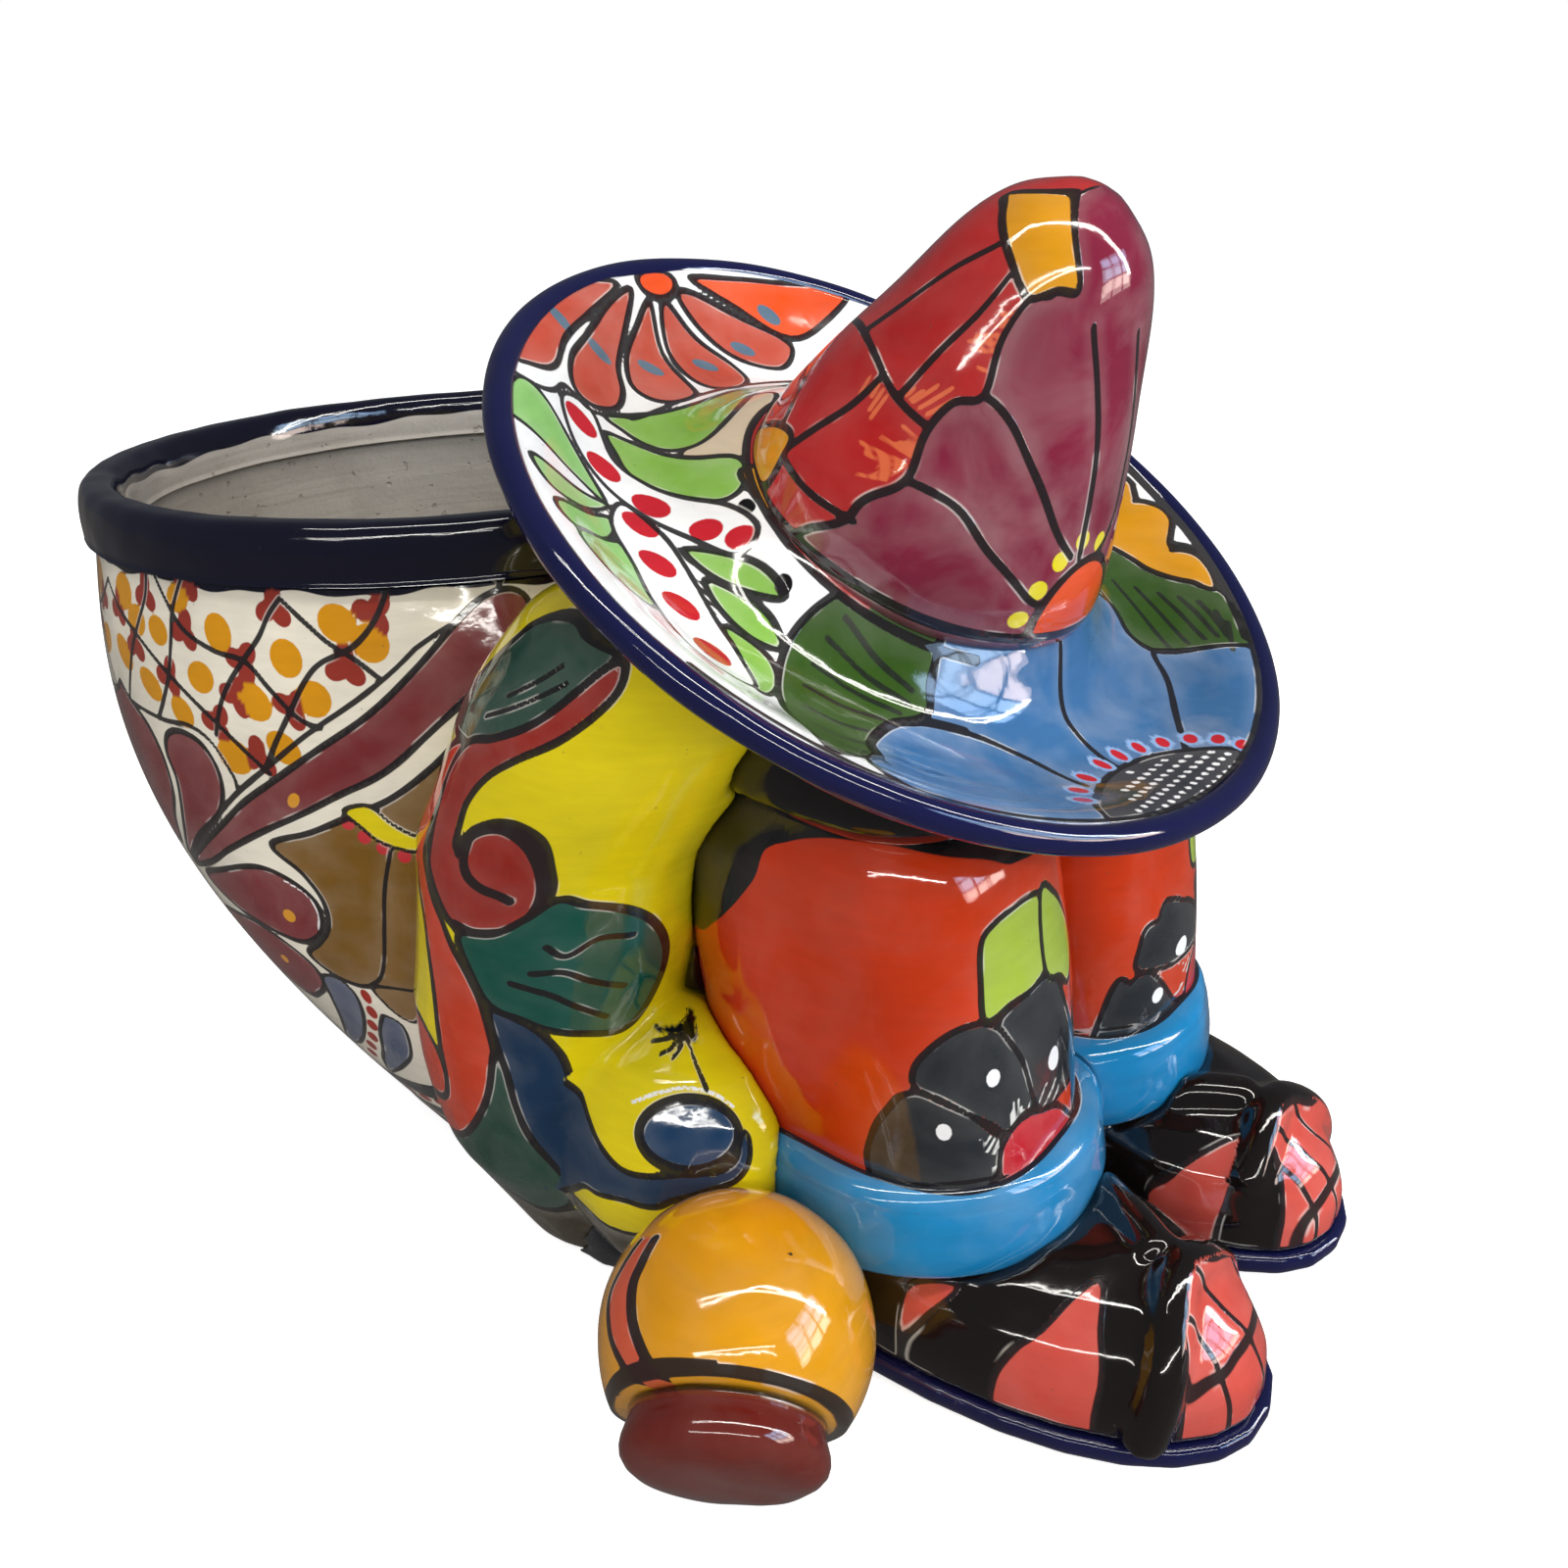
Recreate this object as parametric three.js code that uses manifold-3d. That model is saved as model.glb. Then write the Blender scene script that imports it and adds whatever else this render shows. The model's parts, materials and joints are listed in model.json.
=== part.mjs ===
// A glazed earthenware planter: an open pot with a figure asleep in front of it, seated with
// the knees drawn up, the head bowed on folded arms and a tall sombrero over it all.
// A small jug lies on its side by the right foot.
//
// Millimetres, +Z up. The figure looks along -Y, its right side is -X and the middle plane is
// x = 0. The origin is the centre of the round foot that the pot stands on.
//
// Each piece is a lump or shell of clay made by itself and luted to its neighbours with slip.
// A piece that gives way to a neighbour is cut by that neighbour's form, grown by JOINT.
import * as THREE from "three";
import { mergeVertices } from "three/addons/utils/BufferGeometryUtils.js";
import Module from "manifold-3d";

const wasm = await Module();
wasm.setup();

// Joints and clay
const JOINT = 0.3; // slip joint between two luted pieces
const WALL = 10; // thickness of the pot's wall
const SHELL = 9; // thickness of the moulded hollow forms
const AROUND = 28; // facets round a large form
const AROUND_SMALL = 18; // facets round a small form

// Pot
const POT_HEIGHT = 250;
const FOOT_RADIUS = 106;
const BELLY_RADIUS = 156;
const BELLY_HEIGHT = 162;
const NECK_RADIUS = 143.5;
const POT_LEAN = 83.5; // how far the mouth lies behind the foot
const LEAN_POWER = 1.46; // most of the lean is gained low down
const SWELL = [[0.34, 0.54], [0.68, 0.905]]; // share of belly height, share of the widening
const FLOOR_THICKNESS = 14;
const DRAIN_RADIUS = 10;
const DRAIN_BACK = 42; // drain hole, behind the centre of the foot
const BAND_HEIGHT = 20; // rolled rim
const BAND_WIDTH = 17;
const BAND_OVERHANG = 3; // rim beyond the wall outside

// Skirt of clay that ties the pot's foot to the figure
const SKIRT_HALF_WIDTH = 121;
const SKIRT_HALF_LENGTH = 92;
const SKIRT_BACK = 32.7; // behind the front of the pot's belly
const SKIRT_HEIGHT = 84;
const SKIRT_SQUARENESS = 3;

// Legs, cuffs and shoes. Each is given for one side and mirrored for the other.
const LEG_HALF_WIDTH = 46;
const LEG_PART = 0.4; // half the slot between the legs
const LEG_AHEAD = 73.8; // ahead of the front of the pot's belly
const LEG_HALF_LENGTH = 59.5;
const LEG_SQUARENESS = 2.8;
const KNEE_HEIGHT = 184;
const LEG_LEAN = 19; // knee behind the ankle
const CUFF_IN = 4.4; // cuff nearer the middle than its leg
const CUFF_AHEAD = 8.2; // ahead of its leg
const CUFF_RADIUS = 60.5;
const CUFF_BOTTOM = 41;
const CUFF_HEIGHT = 33;
const ANKLE_INSET = 10; // ankle narrower than the cuff
const SHOE_SPREAD = 3.6; // shoe further out than its leg
const SHOE_AHEAD = 41.5; // ahead of its leg
const SHOE_HALF_WIDTH = 47;
const SHOE_HALF_LENGTH = 90;
const SHOE_HEIGHT = 49;
const SHOE_TURN = 7; // degrees, toes towards the middle
const LEFT_SHOE_BACK = 6; // the left shoe is set a little further back
const SOLE_THICKNESS = 8;
const SOLE_WELT = 3; // sole beyond the upper
const SOLE_TUCK = 2; // sole drawn in at the floor
const STRAP_RADIUS = 6.5;

// Sleeves and body under the serape
const SHOULDER_RISE = 62; // shoulders above the knees
const BODY_HALF_WIDTH = 88;
const BODY_HALF_DEPTH = 52;
const BODY_AHEAD = 9.3; // ahead of the front of the pot's belly
const ELBOW_BEYOND = 9; // elbow's middle beyond the body's side
const ELBOW_RADIUS = 46.5;
const ELBOW_BACK = 32.7; // behind the front of the pot's belly
const HEM_RADII = [41, 50, 52]; // lobe at the bottom of each sleeve
const HEM_IN = 6; // nearer the middle than the elbow
const HEM_AHEAD = 19.3; // ahead of the front of the pot's belly
const HEM_HEIGHT = 51;
const ARMS_HALF_WIDTH = 92;
const ARMS_HALF_LENGTH = 54;
const ARMS_THICKNESS = 34;
const ARMS_BACK = 4.5; // behind the legs' middle
const ARMS_SINK = 4; // bedded below the tops of the knees
const HEAD_RADII = [48, 50, 46];
const HEAD_AHEAD = 7.5; // ahead of the hat's middle
const HEAD_DROP = 24; // below the hat's middle

// Sombrero, in its own frame: heights are above the plane of the brim's edge
const HAT_TILT = 31.8; // degrees, front down
const HAT_AHEAD = 47.8; // ahead of the front of the pot's belly
const HAT_RISE = 66; // above the knees
const BRIM_RADIUS = 132.8;
const BRIM_THICKNESS = 7.5;
const BRIM_DIP = 16; // depth of the valley between crown and edge
const BRIM_LIP = 0.8; // height of the edge
const EDGE_ROLL_RADIUS = 4.5;
const CROWN_RADIUS = 59;
const CROWN_HEIGHT = 104.5;
const CROWN_SHIFT = 5; // crown ahead of the brim's centre
const CROWN_LEAN = 2.3; // degrees, crown back from the brim's axis
const CROWN_SET = 4; // crown's foot runs down onto the brim
const CROWN_SHELL = 8;
const CROWN_SEAT = 13; // width of brim under the crown's wall

// Jug
const JUG_RADIUS = 40.5;
const JUG_BEYOND = 91.2; // further out than the right leg
const JUG_AHEAD = 8; // ahead of the right leg
const JUG_HEADING = 213.5; // degrees from +X to the mouth, seen from above
const JUG_DIP = 22; // degrees, mouth down
const JUG_SHELL = 7;
const JUG_NECK_RADIUS = 28.5;
const JUG_MOUTH_RADIUS = 29.5;
const JUG_LENGTH = 41; // ball's centre to the closed mouth

const BAND_BOTTOM = POT_HEIGHT - BAND_HEIGHT;
const rad = THREE.MathUtils.degToRad;

// Helpers: a form is a manifold solid, and piece() turns one into a named mesh
function toSolid(geometry) {
  const bare = geometry.clone();
  bare.deleteAttribute("normal");
  bare.deleteAttribute("uv");
  const merged = mergeVertices(bare, 1e-4);
  const vertProperties = new Float32Array(merged.attributes.position.array);
  const triVerts = new Uint32Array(merged.index.array);
  return new wasm.Manifold(new wasm.Mesh({ numProp: 3, vertProperties, triVerts }));
}

function toGeometry(solid) {
  const { vertProperties, triVerts } = solid.getMesh();
  const geometry = new THREE.BufferGeometry();
  geometry.setAttribute("position", new THREE.BufferAttribute(vertProperties, 3));
  geometry.setIndex(new THREE.BufferAttribute(triVerts, 1));
  geometry.computeVertexNormals();
  return geometry;
}

function glaze(color, roughness = 0.12) {
  return new THREE.MeshStandardMaterial({ color, roughness, metalness: 0 });
}

function piece(name, solid, material) {
  const mesh = new THREE.Mesh(toGeometry(solid), material);
  mesh.name = name;
  return mesh;
}

// A ring is an oval outline at one height. squareness 2 is an ellipse, more is boxier.
function ringPoints(ring, count) {
  const { x = 0, y = 0, z, a, b = a, squareness = 2, turn = 0 } = ring;
  const points = [];
  for (let k = 0; k < count; k += 1) {
    const t = (2 * Math.PI * k) / count;
    const c = Math.cos(t);
    const s = Math.sin(t);
    const u = a * Math.sign(c) * Math.abs(c) ** (2 / squareness);
    const v = b * Math.sign(s) * Math.abs(s) ** (2 / squareness);
    const w = rad(turn);
    points.push([x + u * Math.cos(w) - v * Math.sin(w), y + u * Math.sin(w) + v * Math.cos(w), z]);
  }
  return points;
}

// A closed solid through a stack of rings, each end filled by a fan
function loft(rings, count = AROUND) {
  const points = rings.flatMap((ring) => ringPoints(ring, count));
  const index = [];
  for (let i = 0; i < rings.length - 1; i += 1) {
    for (let k = 0; k < count; k += 1) {
      const p = i * count + k;
      const q = i * count + ((k + 1) % count);
      index.push(p, q, q + count, p, q + count, p + count);
    }
  }
  const last = (rings.length - 1) * count;
  const { x = 0, y = 0, z } = rings[0];
  points.push([x, y, z]);
  const top = rings[rings.length - 1];
  points.push([top.x ?? 0, top.y ?? 0, top.z]);
  const low = points.length - 2;
  for (let k = 0; k < count; k += 1) {
    const next = (k + 1) % count;
    index.push(low, next, k);
    index.push(low + 1, last + k, last + next);
  }
  const geometry = new THREE.BufferGeometry();
  geometry.setAttribute("position", new THREE.Float32BufferAttribute(points.flat(), 3));
  geometry.setIndex(index);
  return toSolid(geometry);
}

// The same rings, every one wider by grow and the two ends pushed out by it
function grown(rings, grow) {
  const last = rings.length - 1;
  return rings.map((ring, i) => ({
    ...ring,
    a: ring.a + grow,
    b: (ring.b ?? ring.a) + grow,
    z: ring.z + (i === 0 ? -grow : 0) + (i === last ? grow : 0),
  }));
}

// A turned form from a closed outline of [radius, height] pairs, round the +Z axis
function turned(outline, count = AROUND) {
  const points = outline.map(([r, z]) => new THREE.Vector2(r, z));
  const geometry = new THREE.LatheGeometry(points, count);
  geometry.rotateX(Math.PI / 2);
  return toSolid(geometry);
}

function placed(solid, matrix) {
  return solid.transform(matrix.toArray());
}

// All the space to one side of the middle plane that the planter can reach
function half(side) {
  const reach = 2 * (POT_HEIGHT + BELLY_RADIUS);
  const geometry = new THREE.BoxGeometry(reach, 2 * reach, 2 * reach);
  geometry.translate((side * (reach + JOINT)) / 2, 0, 0);
  return toSolid(geometry);
}

function cutBy(solid, ...cutters) {
  return cutters.reduce((rest, cutter) => rest.subtract(cutter), solid);
}

// The main body of a cut solid, without the offcuts that a neighbour leaves
function largest(solid) {
  return solid.decompose().sort((p, q) => q.volume() - p.volume())[0];
}

function smooth(knots) {
  const curve = new THREE.CubicInterpolant(knots.map(([x]) => x), knots.map(([, v]) => v), 1);
  return (x) => curve.evaluate(x)[0];
}

// Pot
const potRadius = smooth([
  [0, FOOT_RADIUS],
  ...SWELL.map(([h, w]) => [h * BELLY_HEIGHT, FOOT_RADIUS + w * (BELLY_RADIUS - FOOT_RADIUS)]),
  [BELLY_HEIGHT, BELLY_RADIUS],
  [BAND_BOTTOM, NECK_RADIUS],
]);

function potCentre(z) {
  return POT_LEAN * (1 - (1 - Math.max(0, z) / POT_HEIGHT) ** LEAN_POWER);
}

// Places that the figure is set out from
const FRONT = BELLY_RADIUS - potCentre(BELLY_HEIGHT);
const LEG_FORWARD = FRONT + LEG_AHEAD;
const LEG_OUT = LEG_HALF_WIDTH + LEG_PART;
const CUFF_FORWARD = LEG_FORWARD + CUFF_AHEAD;
const CUFF_OUT = LEG_OUT - CUFF_IN;
const SHOE_FORWARD = LEG_FORWARD + SHOE_AHEAD;
const SHOE_OUT = LEG_OUT + SHOE_SPREAD;
const SHOULDER_HEIGHT = KNEE_HEIGHT + SHOULDER_RISE;
const ELBOW_OUT = BODY_HALF_WIDTH + ELBOW_BEYOND;
const HAT_FORWARD = FRONT + HAT_AHEAD;
const HAT_HEIGHT = KNEE_HEIGHT + HAT_RISE;

function potRings(from, to, steps) {
  return Array.from({ length: steps + 1 }, (_, i) => {
    const z = from + ((to - from) * i) / steps;
    return { y: potCentre(z), z, a: potRadius(z) };
  });
}

const POT_STEPS = 8;
const FLOOR_STEPS = 2;
const floorRings = potRings(0, FLOOR_THICKNESS, FLOOR_STEPS);
const wallRings = potRings(FLOOR_THICKNESS, BAND_BOTTOM, POT_STEPS);
const hollow = grown(wallRings, -WALL);
hollow[0].z = FLOOR_THICKNESS - JOINT;
hollow[POT_STEPS].z = BAND_BOTTOM + JOINT;

const potFloor = loft(floorRings);
const drain = loft([
  { y: DRAIN_BACK, z: -JOINT, a: DRAIN_RADIUS },
  { y: DRAIN_BACK, z: FLOOR_THICKNESS + JOINT, a: DRAIN_RADIUS },
], AROUND_SMALL);
const potWall = cutBy(loft(wallRings), loft(hollow));

// The rim is a fat roll with a flat bed
function rimOutline(grow = 0) {
  const outer = NECK_RADIUS + BAND_OVERHANG + grow;
  const inner = NECK_RADIUS + BAND_OVERHANG - BAND_WIDTH - grow;
  const middle = (outer + inner) / 2;
  const halfWidth = (outer - inner) / 2;
  const bottom = BAND_BOTTOM - grow;
  const height = BAND_HEIGHT + 2 * grow;
  const outline = [];
  const steps = 11;
  for (let k = 0; k <= steps; k += 1) {
    const t = (Math.PI * k) / steps;
    const c = Math.cos(t);
    const r = middle + halfWidth * Math.sign(c) * Math.abs(c) ** 0.6;
    outline.push([r, bottom + height * Math.sin(t) ** 0.7]);
  }
  outline.push(outline[0]);
  return outline;
}
const toRim = new THREE.Matrix4().makeTranslation(0, potCentre(BAND_BOTTOM), 0);
const rim = placed(turned(rimOutline()), toRim);
const potKeepOut = loft(grown([...floorRings, ...wallRings.slice(1)], JOINT))
  .add(placed(turned(rimOutline(JOINT)), toRim));

// Sombrero
const hatMatrix = new THREE.Matrix4()
  .makeTranslation(0, -HAT_FORWARD, HAT_HEIGHT)
  .multiply(new THREE.Matrix4().makeRotationX(rad(HAT_TILT)));
const crownMatrix = new THREE.Matrix4()
  .makeTranslation(0, -CROWN_SHIFT, 0)
  .multiply(new THREE.Matrix4().makeRotationX(rad(-CROWN_LEAN)));
const BRIM_HOLE_RADIUS = CROWN_RADIUS - CROWN_SEAT;
const BRIM_WIDTH = BRIM_RADIUS - CROWN_RADIUS;
const ROLL_CENTRE = BRIM_RADIUS - EDGE_ROLL_RADIUS;

// Height of the brim's upper face at a distance from the hat's axis
const brimTop = smooth([
  [BRIM_HOLE_RADIUS, 0],
  [CROWN_RADIUS, -0.06 * BRIM_DIP],
  [CROWN_RADIUS + 0.18 * BRIM_WIDTH, -0.7 * BRIM_DIP],
  [CROWN_RADIUS + 0.43 * BRIM_WIDTH, -BRIM_DIP],
  [CROWN_RADIUS + 0.66 * BRIM_WIDTH, -0.62 * BRIM_DIP],
  [CROWN_RADIUS + 0.82 * BRIM_WIDTH, -0.16 * BRIM_DIP],
  [BRIM_RADIUS, BRIM_LIP],
]);

function brimOutline(grow = 0) {
  const steps = 9;
  const reach = BRIM_RADIUS - EDGE_ROLL_RADIUS - BRIM_HOLE_RADIUS + 2 * grow;
  const radii = Array.from({ length: steps + 1 }, (_, i) => {
    return BRIM_HOLE_RADIUS - grow + (reach * i) / steps;
  });
  const under = radii.map((r) => [r, brimTop(r) - BRIM_THICKNESS - grow]);
  const over = radii.map((r) => [r, brimTop(r) + grow]).reverse();
  return [...under, ...over, under[0]];
}

function rollOutline(grow = 0) {
  const steps = 12;
  return Array.from({ length: steps + 1 }, (_, i) => {
    const t = (2 * Math.PI * (i % steps)) / steps;
    const r = EDGE_ROLL_RADIUS + grow;
    return [ROLL_CENTRE + r * Math.cos(t), r * Math.sin(t) - 0.5 * BRIM_THICKNESS];
  });
}

// Crown: share of the height and of the radius, from the base up to the round tip
const CROWN_FORM = [
  [0, 1], [0.096, 0.965], [0.335, 0.81], [0.574, 0.642],
  [0.766, 0.5], [0.861, 0.4], [0.928, 0.29], [0.976, 0.16],
];
function crownOutline(grow = 0) {
  const side = CROWN_FORM.map(([h, w]) => [w * CROWN_RADIUS + grow, h * CROWN_HEIGHT]);
  side[0][1] = -CROWN_SET;
  return [[0, side[0][1]], ...side, [0, CROWN_HEIGHT + grow]];
}
const brim = cutBy(turned(brimOutline()), turned(rollOutline(JOINT)));
const edgeRoll = turned(rollOutline());
const crownHollow = turned([
  [0, -CROWN_SET - JOINT],
  ...CROWN_FORM.map(([h, w]) => (
    [w * CROWN_RADIUS - CROWN_SHELL, h ? h * CROWN_HEIGHT - CROWN_SHELL / 2 : -CROWN_SET - JOINT]
  )),
  [0, CROWN_HEIGHT - CROWN_SHELL],
]);
const crownShell = (grow) => placed(cutBy(turned(crownOutline(grow)), crownHollow), crownMatrix);
const brimKeepOut = turned(brimOutline(JOINT)).add(turned(rollOutline(JOINT)));
const crown = largest(cutBy(crownShell(0), brimKeepOut));
const hatKeepOut = placed(brimKeepOut.add(crownShell(JOINT)), hatMatrix);

// Legs: upright blocks, round at the knee
function legRings(side) {
  const x = side * LEG_OUT;
  const y = -LEG_FORWARD;
  const a = LEG_HALF_WIDTH;
  const b = LEG_HALF_LENGTH;
  const squareness = LEG_SQUARENESS;
  const rise = KNEE_HEIGHT - CUFF_BOTTOM;
  const form = [[0, 0.97], [0.25, 0.98], [0.55, 1], [0.78, 0.98], [0.92, 0.9], [1, 0.74]];
  return form.map(([h, w]) => (
    { x, y: y + (h - 0.2) * LEG_LEAN, z: CUFF_BOTTOM + h * rise, a: a * w, b: b * w, squareness }
  ));
}

function shellOf(rings, shell) {
  const inner = grown(rings, -shell);
  inner[0].z = rings[0].z - JOINT;
  return loft(inner);
}

// Cuffs: puffed rings round the legs' lower ends
function cuffRings(side) {
  const x = side * CUFF_OUT;
  const y = -CUFF_FORWARD;
  const form = [[0, 0.96], [0.25, 1], [0.55, 0.99], [0.8, 0.96], [1, 0.89]];
  return form.map(([h, w]) => ({ x, y, z: CUFF_BOTTOM + h * CUFF_HEIGHT, a: CUFF_RADIUS * w }));
}

const shoeY = (side) => -SHOE_FORWARD + (side > 0 ? LEFT_SHOE_BACK : 0);

// Shoes: a stack of turned-in ovals with an ankle under the cuff
function shoeRings(side) {
  const x = side * SHOE_OUT;
  const y = shoeY(side);
  const turn = -side * SHOE_TURN;
  const squareness = 2.2;
  const rise = SHOE_HEIGHT - SOLE_THICKNESS;
  const width = SHOE_HALF_WIDTH - SOLE_WELT;
  const length = SHOE_HALF_LENGTH - SOLE_WELT;
  const form = [[0, 1, 1], [0.3, 0.99, 0.99], [0.6, 0.9, 0.92], [0.84, 0.68, 0.78], [1, 0.36, 0.52]];
  return form.map(([h, w, l]) => (
    { x, y, z: SOLE_THICKNESS + h * rise, a: width * w, b: length * l, squareness, turn }
  ));
}

function ankleRings(side, grow = 0) {
  const x = side * CUFF_OUT;
  const y = -CUFF_FORWARD;
  const a = CUFF_RADIUS - ANKLE_INSET + grow;
  return [{ x, y, z: SOLE_THICKNESS - grow, a }, { x, y, z: CUFF_BOTTOM - JOINT + grow, a }];
}

function soleRings(side) {
  const x = side * SHOE_OUT;
  const y = shoeY(side);
  const turn = -side * SHOE_TURN;
  const ring = { x, y, squareness: 2.2, turn, a: SHOE_HALF_WIDTH, b: SHOE_HALF_LENGTH };
  return [
    { ...ring, z: 0, a: ring.a - SOLE_TUCK, b: ring.b - SOLE_TUCK },
    { ...ring, z: SOLE_THICKNESS / 3 },
    { ...ring, z: SOLE_THICKNESS },
  ];
}

// Straps: one from the cuff down the instep, one across it behind the toe cap. Their points are
// shares of the shoe's half width, half length and height.
function strapSolid(points, radius) {
  const path = new THREE.CatmullRomCurve3(points.map((p) => new THREE.Vector3(...p)));
  const outline = new THREE.Shape();
  outline.absellipse(0, 0, radius, radius, 0, 2 * Math.PI);
  const settings = { steps: 14, curveSegments: 5, bevelEnabled: false, extrudePath: path };
  return toSolid(new THREE.ExtrudeGeometry(outline, settings));
}

function straps(side) {
  const x = side * SHOE_OUT;
  const y = shoeY(side);
  const instep = [[-0.51, 0.25, 0.94], [-0.3, 0.435, 0.99], [-0.13, 0.59, 0.98]];
  const across = [
    [0.6, 0.73, 0.22], [0.47, 0.745, 0.51], [0.255, 0.72, 0.775],
    [-0.085, 0.655, 0.96], [-0.38, 0.68, 0.86], [-0.66, 0.69, 0.61],
  ];
  const lay = (shares) => strapSolid(shares.map(([out, ahead, up]) => [
    x + side * out * SHOE_HALF_WIDTH,
    y - ahead * SHOE_HALF_LENGTH,
    up * SHOE_HEIGHT,
  ]), STRAP_RADIUS);
  return lay(instep).add(lay(across));
}

// Sleeves: an upright roll from shoulder to floor with a lobe of hem at the foot. Each row has
// the shares of the height, the reach to the side, the set back and the radius.
function sleeveRings(side) {
  const form = [
    [0, 0.825, 0.755, 0.87],
    [0.17, 0.95, 0.91, 1],
    [0.395, 1, 1, 1],
    [0.65, 0.94, 0.6, 1.07],
    [0.833, 0.815, -0.255, 1.08],
    [0.943, 0.753, -0.53, 0.92],
    [1, 0.69, -0.65, 0.5],
  ];
  return form.map(([h, out, back, w]) => ({
    x: side * out * ELBOW_OUT,
    y: back * ELBOW_BACK - FRONT,
    z: h * SHOULDER_HEIGHT,
    a: w * ELBOW_RADIUS,
  }));
}

function hemRings(side, grow = 0) {
  const [a, b, c] = HEM_RADII.map((r) => r + grow);
  const steps = 9;
  const top = 0.99 * c; // the lobe's tip is cut a little flat
  return Array.from({ length: steps + 1 }, (_, i) => {
    const z = -HEM_HEIGHT + ((top + HEM_HEIGHT) * i) / steps;
    const w = Math.sqrt(1 - (z / c) ** 2);
    return {
      x: side * (ELBOW_OUT - HEM_IN), y: -FRONT - HEM_AHEAD, z: HEM_HEIGHT + z, a: a * w, b: b * w,
    };
  });
}

// The moulding hollow inside a sleeve, open to the floor
function sleeveHollow(side) {
  const inner = grown(sleeveRings(side), -SHELL);
  inner[0].z = -JOINT;
  return loft(inner);
}

function sleeveForm(side, grow = 0) {
  return loft(grown(sleeveRings(side), grow)).add(loft(hemRings(side, grow), AROUND_SMALL));
}

// Body: the serape's back between the sleeves. Each row has the shares of the shoulders'
// height, the half width, the half depth and the set forward.
function bodyRings() {
  const form = [
    [0.244, 0.9, 0.65, 0.14],
    [0.488, 0.96, 0.85, 0.57],
    [0.732, 1, 1, 1],
    [0.874, 0.98, 0.96, 1.43],
    [0.951, 0.86, 0.77, 1.65],
    [1.008, 0.62, 0.5, 1.86],
  ];
  return form.map(([h, w, deep, ahead]) => ({
    y: -FRONT - ahead * BODY_AHEAD,
    z: h * SHOULDER_HEIGHT,
    a: w * BODY_HALF_WIDTH,
    b: deep * BODY_HALF_DEPTH,
    squareness: 2.6,
  }));
}

// Arms folded on the knees
function armsRings() {
  const form = [[0, 0.93], [0.2, 1], [0.5, 1], [0.8, 0.95], [1, 0.8]];
  return form.map(([h, w]) => ({
    y: ARMS_BACK - LEG_FORWARD,
    z: KNEE_HEIGHT - ARMS_SINK + h * ARMS_THICKNESS,
    a: w * ARMS_HALF_WIDTH,
    b: w * ARMS_HALF_LENGTH,
    squareness: 3,
  }));
}

function headForm(grow = 0) {
  const geometry = new THREE.SphereGeometry(1, AROUND_SMALL, AROUND_SMALL / 2);
  geometry.scale(...HEAD_RADII.map((r) => r + grow));
  geometry.translate(0, -HAT_FORWARD - HEAD_AHEAD, HAT_HEIGHT - HEAD_DROP);
  return toSolid(geometry);
}

function skirtRings() {
  const form = [[0, 1], [0.3, 1.03], [0.6, 1.02], [0.85, 0.96], [1, 0.88]];
  return form.map(([h, w]) => ({
    y: SKIRT_BACK - FRONT,
    z: h * SKIRT_HEIGHT,
    a: SKIRT_HALF_WIDTH * w,
    b: SKIRT_HALF_LENGTH * w,
    squareness: SKIRT_SQUARENESS,
  }));
}

// Jug, turned round its own axis with the mouth at +Z
function jugOutline(shell = 0) {
  const r = JUG_RADIUS - shell;
  const end = JUG_LENGTH * 0.56;
  const outline = [[0, -r]];
  const steps = 12;
  const from = -Math.PI / 2;
  const to = Math.asin(end / JUG_RADIUS);
  for (let k = 1; k <= steps; k += 1) {
    const t = from + ((to - from) * k) / steps;
    outline.push([r * Math.cos(t), r * Math.sin(t)]);
  }
  const [[mouth, height]] = outline.slice(-1);
  outline.push([mouth, shell ? height + shell : height]);
  outline.push([0, shell ? height + shell : height]);
  return outline;
}
const jugEnd = jugOutline().slice(-1)[0][1];
const jugMatrix = new THREE.Matrix4()
  .makeTranslation(-LEG_OUT - JUG_BEYOND, -LEG_FORWARD - JUG_AHEAD, JUG_RADIUS)
  .multiply(new THREE.Matrix4().makeRotationZ(rad(JUG_HEADING)))
  .multiply(new THREE.Matrix4().makeRotationY(rad(90 + JUG_DIP)));
const jugNeckAt = (h) => jugEnd + h * (JUG_LENGTH - jugEnd);
const jugNeck = turned([
  [0, jugEnd + JOINT],
  [JUG_NECK_RADIUS, jugEnd + JOINT],
  [0.98 * JUG_NECK_RADIUS, jugNeckAt(0.17)],
  [JUG_MOUTH_RADIUS, jugNeckAt(0.44)],
  [0.98 * JUG_MOUTH_RADIUS, jugNeckAt(0.67)],
  [0.83 * JUG_MOUTH_RADIUS, jugNeckAt(0.89)],
  [0.53 * JUG_MOUTH_RADIUS, JUG_LENGTH],
  [0, JUG_LENGTH],
], AROUND_SMALL);

// Cut each piece by the neighbours that it gives way to
const sides = [["right", -1], ["left", 1]];
const legsOut = loft(grown(legRings(-1), JOINT)).add(loft(grown(legRings(1), JOINT)));
const cuffsOut = loft(grown(cuffRings(-1), JOINT)).add(loft(grown(cuffRings(1), JOINT)));
const shoeOut = (side) => loft(grown(shoeRings(side), JOINT)).add(loft(ankleRings(side, JOINT)));
const solesOut = loft(grown(soleRings(-1), JOINT)).add(loft(grown(soleRings(1), JOINT)));
const feetOut = shoeOut(-1).add(shoeOut(1)).add(solesOut);
const limbsOut = legsOut.add(cuffsOut).add(feetOut);
const arms = largest(cutBy(loft(armsRings()), legsOut, hatKeepOut));
const armsOut = loft(grown(armsRings(), JOINT));
const sleevesOut = sleeveForm(-1, JOINT).add(sleeveForm(1, JOINT));
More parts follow.
